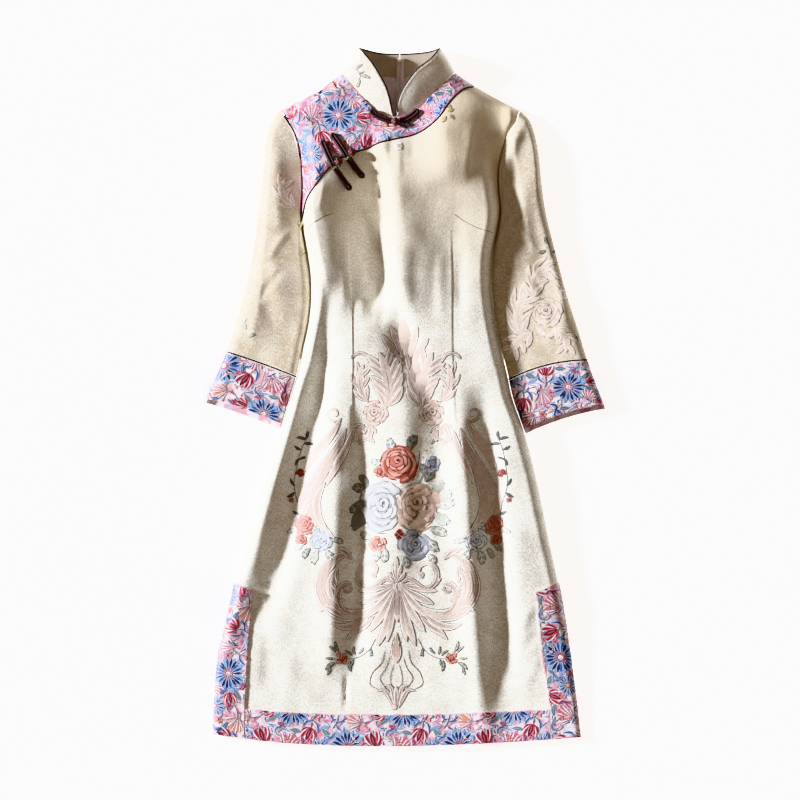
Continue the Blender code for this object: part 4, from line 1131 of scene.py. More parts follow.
seamLine = curvePoints(yokeLine, np.linspace(0.012, 0.992, 150))
reach = np.clip((seamLine[:, 0] - body("left", seamLine[:, 1])) / body("roll", seamLine[:, 1]), 0, 1)
height = frontHeight(seamLine[:, 0], seamLine[:, 1], reach) - cloth["pipeSink"]
corded("yoke_piping", np.c_[seamLine, height], cloth["cord"])
edge = yokeFace[:, 0]
line = movedAcross(edge[:, :2], cloth["pipedSeam"] / 2)
piped = (edge[:, 1] > 850) & (edge[:, 1] < edge[-1, 1] - 4)
line = np.c_[line, edge[:, 2] - cloth["pipeSink"]]
corded("armhole_piping_left", line[piped], cloth["cord"])
print("cloth made", sum(len(p.data.polygons) for p in pieces.values()), "faces")


# What lies on the cloth reads its height from the pieces under it

def seatOn(names):
    graph = bpy.context.evaluated_depsgraph_get()
    trees = [BVHTree.FromObject(pieces[name], graph) for name in names]

    def seat(x, y):
        # height and normal of the highest cloth at a place, in millimetres
        start = Vector(toMetres((x, y, 200.0)))
        best = None
        for tree in trees:
            place, normal, _, _ = tree.ray_cast(start, Vector((0, 0, -1)))
            if place is not None and (best is None or place.z > best[0].z):
                best = place, normal
        if best is None:
            return None
        return best[0].z / mm, np.array(best[1])

    return seat


bpy.context.view_layer.update()
onDress = seatOn(("front_panel", "yoke", "yoke_piping", "collar_left", "collar_right"))


# Frogs: a hairpin of two cords each side, and a knotted button of cord between

frog = {"cord": 2.15, "apart": 2.2, "rest": 0.6, "sunk": 0.15, "end": 2.5, "knot": 4.9, "loopFrom": 0.72,
    "loopOver": 0.2, "loopRound": 2.9, "feel": 1.6, "samples": 26, "turn": 1.65, "heart": 3.1,
    "crown": 1.15, "crownWide": 1.6, "crownTall": 1.4}
frogLines = {
    "frog_a_upper": ((-107.5, 869), (-100.5, 852.5), (-91, 832.5)),
    "frog_a_lower": ((-88.6, 829.2), (-78.6, 814.4), (-67, 799)),
    "frog_b_upper": ((-93.5, 878.5), (-83, 864), (-71.5, 846)),
    "frog_b_lower": ((-69.4, 843.4), (-59.4, 829.6), (-48.4, 816.4)),
    "frog_neck_left": ((-8.5, 897.4), (-17, 899.4), (-27, 903.8), (-38, 912.5)),
    "frog_neck_right": ((4, 897.6), (12, 899.8), (21, 905), (30, 912.6)),
}
knots = {"frog_a_knot": ((-85, 842.5), (-82.9, 833.8)), "frog_b_knot": ((-65.6, 857), (-63.6, 848.2)),
    "frog_neck_knot": ((-2.2, 899.5), (-2.2, 893))}


def hairpin(name, line):
    at = np.linspace(0, 1, frog["samples"])
    if name.endswith("upper"):
        at = at[::-1]  # its loop is at the other end
    plan = curvePoints(line, at)
    length = runOf(plan)[-1]
    run = np.linspace(0, length, len(plan))
    # the loop's end opens a little before the cord turns back
    opened = np.clip((run / length - frog["loopFrom"]) / frog["loopOver"], 0, 1)
    gap = frog["apart"] + (frog["end"] - frog["apart"]) * opened
    gap = gap * np.sqrt(np.clip((length - run) / frog["loopRound"], 0, 1))
    gap = gap[:, None]
    path = np.concatenate([movedAcross(plan, gap), movedAcross(plan, -gap)[-2::-1]])
    places = []
    for x, y in path:
        found = onDress(x, y)
        near = [onDress(x + dx * frog["feel"], y + dy * frog["feel"]) for dx, dy in ((1, 0), (-1, 0),
            (0, 1), (0, -1))]
        height = max(item[0] for item in (found, *near) if item is not None)
        places.append((x, y, height + frog["rest"] - frog["sunk"] + frog["cord"]))
    places = np.array(places)
    for _ in range(5):
        level = places[:, 2].copy()
        level[1:-1] = np.maximum(level[1:-1], (places[:-2, 2] + places[2:, 2]) / 2)
        places[:, 2] = level
    return tube(titled(name), places, frog["cord"], finishes["cord"], sides=14)


def buttonKnot(name, ends):
    # three turns of cord wound over and under round a small ball
    (x0, y0), (x1, y1) = ends
    along = np.array([x1 - x0, y1 - y0, 0.0]) / math.hypot(x1 - x0, y1 - y0)
    across = np.array([-along[1], along[0], 0.0])
    up = np.array([0, 0, 1.0])
    middle = np.array([(x0 + x1) / 2, (y0 + y1) / 2])
    seats = [onDress(*place) for place in (*ends, middle)]
    seat = max(item[0] for item in seats if item is not None)
    heart = np.array([*middle, seat + frog["rest"] + frog["knot"] * 1.02])
    t = fullTurn(150)
    lift = 0.52 * np.sin(4 * t)
    weave = frog["knot"] * (1 + 0.1 * np.cos(12 * t)) - 1.0
    ring = np.stack([np.cos(3 * t) * np.cos(lift), np.sin(3 * t) * np.cos(lift), 1.35 * np.sin(lift)],
        axis=-1) * weave[:, None]
    path = heart + ring[:, :1] * across + ring[:, 1:2] * up * 0.86 + ring[:, 2:] * along
    parts = [tube(name + " turns", path, frog["turn"], finishes["knot"], True, 10)]
    reach = frog["knot"] + 0.9
    run = np.linspace(-1, 1, 15)
    ball = heart + along * (run * reach)[:, None]
    size = frog["heart"] * np.sqrt(np.clip(1 - run**2, 0.03, 1)) + 0.2
    parts.append(tube(name + " heart", ball, size, finishes["knot"]))
    for way in (-1, 1):
        crown = heart + along * way * (frog["knot"] * 1.02)
        turn = fullTurn(26)
        wide, tall = np.cos(turn) * frog["crownWide"], np.sin(turn) * frog["crownTall"]
        path = crown + np.outer(wide, across) + np.outer(tall, up)
        parts.append(tube(name + " crown", path, frog["crown"], finishes["knot"], True, 8))
    return joined(titled(name), parts)


frogs = {name: hairpin(name, line) for name, line in frogLines.items()}
frogs.update({name: buttonKnot(name, ends) for name, ends in knots.items()})
print("frogs made")


# The zip's slider and pull, at the top of the tape inside the collar

sliderOutline = ((-3.0, -8.0), (3.0, -8.0), (3.6, -3.0), (2.4, 0.0), (-2.4, 0.0), (-3.6, -3.0))
sliderLow = tapeTop[-1] + 1.0
sliderPoints = np.array([
    (zipTape["x"] + x * (1 - inset / 4), zipTape["top"] + y * (1 - inset / 9), sliderLow + z)
    for inset, z in ((0.5, 0.0), (0.0, 0.4), (0.0, 2.0), (0.5, 2.6)) for x, y in sliderOutline
])
sliderFaces = [tuple(face) for face in quads(4, 6, 0, wrap=True)]
sliderFaces += [tuple(range(6))[::-1], tuple(18 + i for i in range(6))]
sliderBody = newMesh("sliderBody", sliderPoints, outward(sliderPoints, sliderFaces), finishes["metal"],
    sliderPoints[:, :2], 30)
turn = fullTurn(24)
loop = np.stack([zipTape["x"] + 1.7 * np.cos(turn), zipTape["top"] - 6.5 + 3.4 * np.sin(turn),
    sliderLow + 3.0 + 0.1 * np.sin(turn)], axis=-1)
sliderPull = tube("sliderPull", loop, 0.55, finishes["metal"], closed=True, sides=8)
pieces["zip_slider"] = joined(titled("zip_slider"), [sliderBody, sliderPull])


# Woven figures. A stroke is a path, its half widths, its fill, its edge and its layer.
# Strokes are drawn in millimetres on the flat, and laid on the cloth further down.

def profile(kind, t):
    if kind == "leaf":
        return np.sin(np.pi * np.clip(t, 0.01, 0.99)) ** 0.75
    if kind == "petal":
        return np.sin(np.pi * np.clip(t, 0.01, 0.99) ** 1.6) ** 0.7
    if kind == "tail":
        return np.sqrt(np.clip(t / 0.08, 0, 1)) * np.clip(1.02 - t, 0, 1) ** 0.8
    return np.sqrt(np.clip(np.minimum(t, 1 - t) / 0.1, 0.02, 1))


def stroke(points, half, fill, edge=None, layer=0, kind="leaf", wobble=0.0):
    fill, edge = tints.get(fill, fill), tints.get(edge, edge)
    points = np.array(points, float)
    length = runOf(points)[-1]
    count = int(np.clip(length / (1.9 if length < 25 else 2.6), 3, 60)) + 1
    t = np.linspace(0, 1, count)
    path = curvePoints(points, t) if len(points) > 2 else points[0] + np.outer(t, points[1] - points[0])
    shade = 1 + dice.uniform(-0.07, 0.07)
    fill = tuple(c * shade for c in fill)
    widths = half * profile(kind, t) * (1 + wobble * np.sin(t * 9 + dice.uniform(0, 6)))
    return path, widths, fill, edge, layer + dice.uniform(0, 0.3)


def put(strokes, at=(0, 0), turn=0.0, size=1.0, flip=1):
    c, s = math.cos(math.radians(turn)), math.sin(math.radians(turn))
    rotate = np.array([[c, s], [-s, c]])
    return [((path * (flip, 1)) @ rotate * size + at, half * size, fill, edge, layer)
        for path, half, fill, edge, layer in strokes]


def arc(radius, start, end, count, middle, squeeze):
    turns = np.radians(np.linspace(start, end, count))
    return np.c_[middle[0] + radius * np.cos(turns), middle[1] + radius * np.sin(turns) * squeeze]


def spiral(radius, turns, start=0.0, tightness=0.75, count=14, way=1):
    t = np.linspace(0, 1, count)
    r = radius * (1 - tightness * t)
    a = math.radians(start) + way * turns * 2 * math.pi * t
    return np.c_[r * np.cos(a), r * np.sin(a)]


def dot(x, y, radius, fill, edge=None, layer=3):
    return [stroke([(x - radius, y), (x + radius, y)], radius, fill, edge, layer, "band")]


def ray(turn, *distances, middle=(0, 0), squeeze=1.0):
    # points at distances from the middle, at a turn in radians
    c, s = math.cos(turn), math.sin(turn) * squeeze
    return [(middle[0] + c * distance, middle[1] + s * distance) for distance in distances]


tints = {name: tone(*shade) for name, shade in {
    "white": (244, 241, 243), "navy": (32, 50, 104), "blue": (60, 98, 166), "pale": (146, 174, 212),
    "red": (176, 36, 56), "crimson": (120, 26, 44), "rose": (200, 106, 132), "pink": (222, 158, 176),
    "salmon": (216, 148, 130), "sage": (118, 136, 140), "teal": (74, 108, 126), "grey": (144, 150, 166),
    "dust": (208, 188, 176), "dustLight": (230, 215, 204), "mauve": (116, 94, 86),
    "mauveDark": (88, 70, 66), "cream": (255, 253, 248), "tan": (212, 186, 164),
    "tanDark": (104, 80, 62), "coral": (172, 76, 64), "coralLight": (232, 180, 164),
    "brick": (108, 28, 28), "lavender": (188, 187, 190), "lavenderDark": (98, 98, 108),
    "slate": (150, 153, 164), "slateDark": (70, 74, 90), "leaf": (134, 134, 126),
    "leafDark": (76, 72, 70), "olive": (196, 184, 142), "oliveDark": (108, 98, 64),
    "leafLight": (184, 184, 172), "blush": (226, 198, 184), "snow": (242, 241, 242),
    "sky": (188, 196, 208), "mist": (242, 228, 214),
}.items()}


# Floral trim: a repeat of daisies, tulips, fans, leaves and small flowers

def daisy(radius, count, heart):
    made = []
    for i in range(count):
        a = 360 / count * i + dice.uniform(-5, 5)
        for half, length, fill, layer, shift in ((0.125, 1.0, "pale", 1.0, 0.5),
                (0.1, 0.86, "navy" if i % 3 else "blue", 2.0, 0.0)):
            turn = math.radians(a + shift * 360 / count)
            reach = radius * length * dice.uniform(0.88, 1.06)
            path = ray(turn, 0.2 * radius, reach)
            made.append(stroke(path, radius * half, fill, "white", layer, "petal"))
    for i in range(9):
        made += dot(*ray(math.radians(40 * i), 0.2 * radius)[0], radius * 0.075, heart, "crimson", 3.4)
    made += dot(0, 0, radius * 0.13, "white", None, 3.8)
    curl = spiral(radius * 0.09, 1.2, count=9)
    return made + [stroke(curl, radius * 0.025, "navy", None, 4.6, "band")]


def tulip(size):
    # each row: its path, half width, fill, edge and layer, all for a size of one
    def scaled(rows):
        return [stroke(np.array(path) * size, size * half, *rest) for path, half, *rest in rows]

    made = scaled([(((0, -0.95), (0.08, -0.5), (0, 0)), 0.05, "teal", "white", 0.8, "band")])
    for side in (-1, 1):
        made += scaled((
            (((0, 0), (side * 0.34, 0.32), (side * 0.3, 0.9)), 0.17, "red", "pink", 1.6),
            (((side * 0.05, -0.5), (side * 0.4, -0.25), (side * 0.55, 0.2)), 0.09, "blue", "white", 1.0),
            (((side * 0.16, 0.1), (side * 0.4, 0.5), (side * 0.46, 0.95)), 0.06, "white", "rose", 3.0),
        ))
    return made + scaled(((((0, 0), (0, 0.45), (0, 0.95)), 0.17, "crimson", "pink", 2.4),
        (((0, 0.15), (0, 0.7)), 0.045, "rose", None, 3.4)))


def fan(size, ground):
    spread, count = 120, 8
    path = [(0, 0), (0, size * 0.5), (0, size * 0.95)]
    made = [stroke(path, size * 0.44, ground, None, 0.2, "petal")]
    for i in range(count):
        a = math.radians(90 - spread / 2 + spread * i / (count - 1) + dice.uniform(-3, 3))
        bend = 0.22 * (i / (count - 1) - 0.5) * size
        reach = size * dice.uniform(0.85, 1.08)
        foot, (x, y), tip = ray(a, 0.1 * size, reach * 0.55, reach)
        path = [foot, (x + bend * 0.3, y), (tip[0] + bend, tip[1])]
        made.append(stroke(path, size * 0.06, "white", "rose", 1.4, "petal"))
        if i % 2:
            path = [(x * 0.86 + size * 0.03, y * 0.86) for x, y in path]
            made.append(stroke(path, size * 0.022, "crimson", None, 2.2))
    return made


def sprigLeaf(size, fill):
    bend = dice.uniform(-0.12, 0.12) * size
    return [stroke([(0, 0), (bend, size * 0.5), (0, size)], size * 0.2, fill, "white", 0.9),
        stroke([(0, size * 0.08), (bend, size * 0.5), (0, size * 0.9)], size * 0.025, "pale", None, 2.4)]


def swirlLeaf(size, fill):
    # three long blades that curl one way out of one foot
    made = []
    edge, vein = ("rose", "crimson") if fill == "white" else ("white", "navy")
    for i, (reach, bend) in enumerate(((1.0, 0.34), (0.82, 0.6), (0.6, 0.9))):
        path = np.array([(0, 0), (-0.08 * (i - 1), reach * 0.5), (bend * 0.6, reach * 0.95)]) * size
        made.append(stroke(path, size * 0.1, fill, edge, 1.2 + 0.5 * i))
        made.append(stroke(path * 0.9 + (0, size * 0.04), size * 0.018, vein, None, 2.6 + 0.5 * i))
    return made


def smallFlower(size, fill):
    edge = "crimson" if fill == "rose" else "rose"
    made = [stroke(ray(math.radians(72 * i + 18), 0.1 * size, size), size * 0.34, fill, edge, 2.0,
        "petal") for i in range(5)]
    return made + dot(0, 0, size * 0.22, "red", None, 3.2)


trim = {"wide": 133, "tall": 92, "scale": 1.2, "hairs": 120, "blades": 170}


def somewhere():
    # a place and a turn anywhere in the repeat
    return dice.uniform(0, trim["wide"]), dice.uniform(0, trim["tall"]), dice.uniform(0, 360)


def trimRepeat():
    # one repeat; each row gives a motif, its place, turn and size
    made = []
    for x, y, radius, count, heart in (
        (23, 22, 22.5, 19, "rose"), (90, 64, 21, 18, "pink"), (122, 18, 14, 14, "salmon"),
        (50, 80, 14, 15, "rose"),
    ):
        made += put(daisy(radius, count, heart), (x, y), dice.uniform(0, 40))
    for x, y, turn, size in (
        (56, 22, 18, 20), (12, 60, -24, 19), (112, 44, 158, 18), (68, 62, 100, 15),
    ):
        made += put(tulip(size), (x, y), turn)
    for x, y, turn, size, fill in (
        (68, 34, -34, 24, "pale"), (25, 68, 22, 22, "blue"), (100, 34, 196, 22, "rose"),
        (118, 78, 40, 24, "blue"), (40, 32, 110, 20, "white"), (104, 82, -60, 22, "white"),
        (8, 40, 150, 20, "pale"), (78, 30, 60, 20, "white"),
    ):
        made += put(swirlLeaf(size, fill), (x, y), turn)
    for x, y, turn, size, ground in (
        (82, 16, -30, 22, "rose"), (40, 50, 70, 20, "salmon"), (6, 84, -80, 20, "rose"),
        (122, 58, 10, 20, "pink"), (74, 86, 150, 17, "rose"), (104, 4, 60, 16, "salmon"),
        (30, 92, 200, 16, "pink"), (58, 0, -10, 18, "rose"),
    ):
        made += put(fan(size, ground), (x, y), turn)
    for x, y, turn, size, fill in (
        (2, 30, 40, 17, "sage"), (44, 12, -20, 15, "teal"), (44, 36, 130, 14, "blue"),
        (60, 48, -60, 16, "sage"), (74, 50, 30, 14, "pale"), (100, 18, 120, 13, "sage"),
        (128, 34, 200, 15, "blue"), (34, 62, 60, 15, "teal"), (2, 46, 100, 14, "pale"),
        (86, 40, -100, 15, "sage"), (110, 88, 80, 14, "teal"), (64, 74, 220, 13, "blue"),
        (18, 46, 180, 12, "sage"), (88, 88, -40, 13, "sage"), (130, 66, 150, 12, "navy"),
        (76, 4, 90, 12, "blue"), (96, 48, 10, 12, "navy"),
    ):
        made += put(sprigLeaf(size, fill), (x, y), turn)
    for x, y, size, fill in (
        (42, 26, 5.5, "pink"), (76, 44, 6, "rose"), (110, 30, 5, "pink"), (3, 10, 6, "rose"),
        (34, 74, 5, "salmon"), (112, 66, 6, "pink"), (60, 90, 5.5, "rose"), (130, 88, 5, "salmon"),
        (20, 88, 5, "pink"), (84, 28, 4.5, "salmon"), (52, 62, 5, "rose"),
    ):
        made += put(smallFlower(size, fill), (x, y), dice.uniform(0, 70))
    for _ in range(trim["hairs"]):
        # long pale hairs sweep between the flowers
        x, y, a = somewhere()
        shade = dice.choice(("white", "white", "rose", "pale", "blue"))
        length, bow = dice.uniform(10, 20), dice.uniform(-4, 4)
        hair = stroke([(0, 0), (bow, length / 2), (0, length)], 0.55, shade, None, 0.9, "tail")
        made += put([hair], (x, y), a)
    for _ in range(trim["blades"]):
        # filler: blades of every colour between the flowers
        x, y, a = somewhere()
        shade = dice.choice(("white", "pale", "pink", "blue", "salmon", "grey", "red", "white", "rose",
            "blue", "teal"))
        length = dice.uniform(5, 12)
        path, edge = [(0, 0), (1.4, length / 2), (0, length)], "rose" if shade == "white" else "white"
        made += put([stroke(path, length * 0.15, shade, edge, 0.2)], (x, y), a)
    return made


trimStrokes = put(trimRepeat(), size=trim["scale"])
repeatSize = trim["wide"] * trim["scale"], trim["tall"] * trim["scale"]


def tiled(low, high, shift, flip=1, turn=0):
    # the repeat laid over a rectangle; what falls outside the piece is cut off later
    made = []
    wide, tall = repeatSize[::-1] if turn else repeatSize
    away = wide if turn or flip < 0 else 0
    for column in range(int((low[0] - shift[0]) // wide), int((high[0] - shift[0]) // wide) + 1):
        for row in range(int((low[1] - shift[1]) // tall), int((high[1] - shift[1]) // tall) + 1):
            at = (shift[0] + column * wide + away, shift[1] + row * tall)
            made += put(trimStrokes, at, turn, 1, flip)
    return made


relief = {"step": 0.07, "raised": 0.1, "rim": 0.5, "sunk": -0.05, "thinnest": 0.12, "across": 1.5}


def layStrokes(name, strokes, place, fits, finish, base, turned):
    # closed ribbons on the cloth: place gives points and normals, fits pulls them inside
    flats, lifts, faces, colours = [], [], [], []
    start = 0
    for path, half, fill, edge, layer in strokes:
        keep = fits(path)[1]
        if not keep.any():
            continue
        runs = np.split(np.arange(len(path)), np.flatnonzero(np.diff(keep.astype(int))) + 1)
        for run in runs:
            if not keep[run[0]] or len(run) < 3:
                continue
            spine, width = path[run], np.maximum(half[run], relief["thinnest"])
            left = leftOf(spine)
            # an edge may name its own width, then an outline's colour and width
            widest = edge[3] if edge is not None and len(edge) > 3 else relief["rim"]
            rim = np.clip(0.3 * width, 0.1, widest)
            outline = edge[4:7] if edge is not None and len(edge) > 4 else None
            # wide strokes have more points across, so that they follow the cloth
            shares = np.linspace(1, -1, int(np.clip(width.max() / relief["across"], 1, 7)) * 2 + 1)
            if edge is None:
                offsets = [width * share for share in shares]
                lifting = relief["raised"] * (1 - shares**4)
            else:
                offsets = [width] + [(width - rim) * share for share in shares] + [-width]
                lifting = np.r_[0, relief["raised"] * (1 - 0.3 * shares**4), 0]
                if outline:
                    line = edge[7] * np.clip(width / widest, 0.3, 1)
                    offsets = [width + line] + offsets + [-width - line]
                    lifting = np.r_[relief["sunk"], lifting, relief["sunk"]]
            n, m = len(spine), len(offsets)
            block = np.stack([spine + left * offset[:, None] for offset in offsets], axis=1)
            flats.append(fits(block.reshape(-1, 2))[0])
            lifts.append(np.tile(lifting + base + layer * relief["step"], n))
            index = start + np.arange(n * m).reshape(n, m)
            start += n * m
            first, last = np.array(fill[:3]), np.array(fill[-3:])
            steps = np.linspace(0, 1, n - 1)[:, None]
            shades = (first + (last - first) * steps) * (0.92 + 0.14 * steps)
            for k in range(m):
                after = (k + 1) % m
                outer = edge is not None and k in (0, m - 2) or outline and k in (1, m - 3)
                shown = outline if outline and k in (0, m - 2) else edge
                for i in range(n - 1):
                    faces.append((index[i, after], index[i + 1, after], index[i + 1, k], index[i, k]))
                    colours.append(shown[:3] if outer else tuple(shades[i]))
            faces += [tuple(index[0, ::-1]), tuple(index[-1])]
            colours += [tuple(shades[0]), tuple(shades[-1])]
    points, normals = place(np.concatenate(flats))
    points = points + normals * np.concatenate(lifts)[:, None]
    if turned < 0:
        faces = [face[::-1] for face in faces]
    faces = [tuple(map(int, face)) for face in faces]
    piece = meshOf(name, toMetres(points).tolist(), faces, finish, 50)
    layer = piece.data.color_attributes.new("tint", "FLOAT_COLOR", "CORNER")
    rgba = np.repeat(np.c_[colours, np.ones(len(colours))], [len(face) for face in faces], axis=0)
    layer.data.foreach_set("color", rgba.astype(np.float32).ravel())
    print(name, "strokes", len(strokes), "faces", len(faces))
    return piece


def onGrid(grid, normals):
    # cloth coordinates: across from the grid's first column, along from its first row
    inset = 0.5
    run, along = runAcross(grid), runAlong(grid)
    rows, columns = grid.shape[:2]

    def fits(flat):
        t = np.clip(flat[:, 1], inset, along[-1] - inset)
        row = np.interp(t, along, np.arange(rows)).astype(int)
        widest = run[np.clip(row, 0, rows - 1), -1]
        s = np.clip(flat[:, 0], inset, widest - inset)
        inside = (np.abs(s - flat[:, 0]) < 0.01) & (np.abs(t - flat[:, 1]) < 0.01)
        return np.stack([s, t], axis=-1), inside

    def place(flat):
        at = np.interp(flat[:, 1], along, np.arange(rows))
        low = np.clip(at.astype(int), 0, rows - 2)
        mix = (at - low)[:, None]
        found = []
        for source in (grid, normals):
            ends = []
            for row in (low, low + 1):
                column = np.clip((run[row] <= flat[:, :1]).sum(axis=1) - 1, 0, columns - 2)
                step = run[row, column + 1] - run[row, column]
                share = ((flat[:, 0] - run[row, column]) / np.maximum(step, 1e-6))[:, None]
                ends.append(source[row, column] * (1 - share) + source[row, column + 1] * share)
            found.append(ends[0] * (1 - mix) + ends[1] * mix)
        return found[0], normalised(found[1])

    middle = grid[rows // 2, columns // 4], grid[rows // 2, columns // 4 + 1], grid[rows // 2 + 1,
        columns // 4]
    cross = np.cross(middle[1] - middle[0], middle[2] - middle[0])
    turned = 1 if cross @ normals[rows // 2, columns // 4] > 0 else -1
    return place, fits, turned, (run.max(), along[-1])


def outlineOf(grid):
    # once round the grid's edge, seen from above
    flat = grid[..., :2]
    return np.concatenate([flat[0], flat[1:, -1], flat[-1, -2::-1], flat[-2:0:-1, 0]])


def fromAbove(names, outline=None, inset=0.6):
    seat = seatOn(names)

    def place(flat):
        found = [seat(x, y) or (20.0, np.array([0, 0, 1.0])) for x, y in flat]
        heights = np.array([item[0] for item in found])
        return np.c_[flat, heights], np.array([item[1] for item in found])

    if outline is None:
        return place, lambda flat: (flat, np.ones(len(flat), bool))
    ring = np.asarray(outline, float)
    after = np.roll(ring, -1, axis=0)
    sample = np.concatenate([ring + (after - ring) * t for t in (0, 0.25, 0.5, 0.75)])

    def within(flat):
        x, y = flat[:, :1], flat[:, 1:]
        crosses = (ring[:, 1] > y) != (after[:, 1] > y)
        at = ring[:, 0] + (y - ring[:, 1]) / np.where(after[:, 1] == ring[:, 1], 1e-9,
            after[:, 1] - ring[:, 1]) * (after[:, 0] - ring[:, 0])
        return (crosses & (x < at)).sum(axis=1) % 2 == 1

    lowest, highest = ring.min(axis=0), ring.max(axis=0)

    def fits(flat):
        if (flat.max(axis=0) < lowest).any() or (flat.min(axis=0) > highest).any():
            return flat, np.zeros(len(flat), bool)
        inside = within(flat)
        gaps = np.linalg.norm(flat[:, None] - sample[None], axis=2)
        nearest = sample[gaps.argmin(axis=1)]
        good = inside & (gaps.min(axis=1) > inset)
        return np.where(good[:, None], flat, nearest), good

    return place, fits


# The trim's figures on each piece that is cut from it

onCloth = {}
extras = []


def addFigures(name, strokes, place, fits, finish="print", turned=1, base=0.28, title=None):
    title = title or name + "Figures"
    piece = layStrokes(title, strokes, place, fits, finishes[finish], base, turned)
    extras.append(piece)
    onCloth.setdefault(name, []).append(piece)


yokeOutline = outlineOf(yokeFace)
place, fits = fromAbove(("yoke",), yokeOutline, 1.0)
low, high = yokeOutline.min(axis=0), yokeOutline.max(axis=0)
addFigures("yoke", tiled(low, high, (-136.0, 829.0), flip=-1), place, fits)
for name, key, shift, turn in (("side_band_left", "left", (-12.0, -18.0), 90),
        ("side_band_right", "right", (-58.0, -70.0), 90), ("hem_band_front", "hem", (-40.0, -28.0), 0),
        ("hem_band_back", "rear", (-70.0, -60.0), 0)):
    _, grid, normals = bands[key]
    place, fits, turned, size = onGrid(grid, normals)
    addFigures(name, tiled((0, 0), size, shift, turn=turn), place, fits, turned=turned, base=0.2 if key
        == "rear" else 0.28)
for name, shift in (("left", (-20.0, -8.0)), ("right", (-64.0, -40.0))):
    grid, normals = cuffGrids[name]
    place, fits, turned, size = onGrid(grid, normals)
    addFigures("cuff_" + name, tiled((0, 0), size, shift), place, fits, turned=turned)


# The woven ornament on the front: scrolling leaves round a bouquet of roses.
# It is charted in squares of 1.434 mm from the top left, and its halves mirror each other.

chart = {"square": 1.434, "middle": 397.0, "foot": 746.5}


def charted(x, y):
    return (x - chart["middle"]) * chart["square"], (chart["foot"] - y) * chart["square"]


def axisAt(y):
    return np.interp(y, (100, 260, 400, 590), (-1.0, 1.0, 6.0, 14.0))


def mirrored(strokes):
    made = []
    for path, half, fill, edge, layer in strokes:
        other = path.copy()
        other[:, 0] = 2 * axisAt(path[:, 1]) - path[:, 0]
        made.append((other, half, fill, edge, layer))
    return made


def chartedPath(points):
    return [charted(x, y) for x, y in points]


bloom = {"outer": 7, "middle": 6, "inner": 5, "line": 1.0, "ruffle": 0.3, "hatch": (-16, 13)}
smallBloom = {"outer": 5, "middle": 4, "inner": 0, "line": 0.7, "ruffle": 0.12, "hatch": ()}


def blended(first, second, share):
    return tuple(a + (b - a) * share for a, b in zip(first, second))


def rose(radius, light, mid, dark, squeeze=1.0, petals=bloom):
    # rings of ruffled petals, each with a dark line and a pale lip, round a furled heart
    made, layer = [], 0.6
    shift = dice.uniform(0, 360)
    lean = math.radians(dice.uniform(60, 120))
    heart = np.array(ray(lean, radius * 0.14)[0])
    outlined = tints[dark] + (petals["line"],)
    light, mid = tints[light], tints[mid]
    for count, start, reach, half in ((petals["outer"], 0.25, 1.0, 0.42), (petals["middle"], 0.12, 0.76,
            0.36), (petals["inner"], 0.02, 0.52, 0.27)):
        order = list(range(count))
        dice.shuffle(order)
        for i in order:
            turn = math.radians(shift + 360 / count * i + dice.uniform(-17, 17))
            bend = turn + dice.uniform(-0.22, 0.22)
            tall = radius * reach * dice.uniform(0.82, 1.12)
            drift = heart * (1 - reach) * 1.4
            foot, tip = ray(turn, radius * start, tall, middle=drift, squeeze=squeeze)
            path = [foot, *ray(bend, tall * 0.62, middle=drift, squeeze=squeeze), tip]
            mix = dice.uniform(0.1, 0.8)
            base, end = blended(mid, tints[dark], 0.5), blended(mid, light, mix)
            a, b, wide = math.degrees(turn), math.degrees(bend), half * 2 / reach
            shadow = arc(tall * 0.98, a - 32 * wide, a + 32 * wide, 5, drift, squeeze)
            lip = arc(tall * 0.84, a - 34 * wide, a + 34 * wide, 5, drift, squeeze)
            fold = arc(tall * 0.6, b - 16, b + 20, 4, drift, squeeze)
            made += [
                stroke(shadow, radius * 0.05, base, None, layer - 0.12),
                stroke(path, radius * half, base + end, outlined, layer, "petal", petals["ruffle"]),
                stroke(lip, radius * 0.075, light, None, layer + 1.3),
                stroke(fold, radius * 0.03, dark, None, layer + 1.2),
            ]
            for slant in petals["hatch"]:
                # short threads that shade the petal from its foot
                a = turn + math.radians(slant + dice.uniform(-6, 6)) / max(reach, 0.5)
                line = ray(a, tall * 0.36, tall * dice.uniform(0.58, 0.74), middle=drift, squeeze=squeeze)
                made.append(stroke(line, 0.36, base, None, layer + 1.1))
            layer += 0.34
        shift += 180 / max(count, 1) + 11
        layer += 0.6
    for i, (reach, half) in enumerate(((0.3, 0.15), (0.24, 0.13), (0.17, 0.12), (0.1, 0.09))):
        turn = shift + i * 130
        path = arc(radius * reach, turn - 105, turn + 75, 7, heart * 1.3, squeeze)
        tint = blended(mid, light, 0.25 + 0.2 * i)
        made.append(stroke(path, radius * half, tint, outlined, layer, "leaf", 0.1))
        layer += 0.5
    curl = spiral(radius * 0.09, 1.1, dice.uniform(0, 360), count=8) + heart * 1.3
    return made + [stroke(curl, radius * 0.035, dark, None, layer + 0.8, "tail")]


def roseLeaf(length, fill, dark, vein, broad):
    bend = dice.choice((-1, 1)) * length * 0.1
    made = [stroke([(0, 0), (bend, length * 0.5), (0, length)], length * broad, fill,
        tints[dark] + (0.75,), 0.5, "leaf", 0.1),
        stroke([(0, 0), (bend, length * 0.5), (0, length * 0.92)], length * 0.028, vein, None, 2.6)]
    for i in range(1, 5):
        y = length * (0.12 + 0.17 * i)
        for side in (-1, 1):
            path = [(bend * 0.8, y), (bend + side * length * broad * 0.66, y + length * 0.13)]
            made.append(stroke(path, length * 0.022, vein if i % 2 else dark, None, 2.2))
    return made


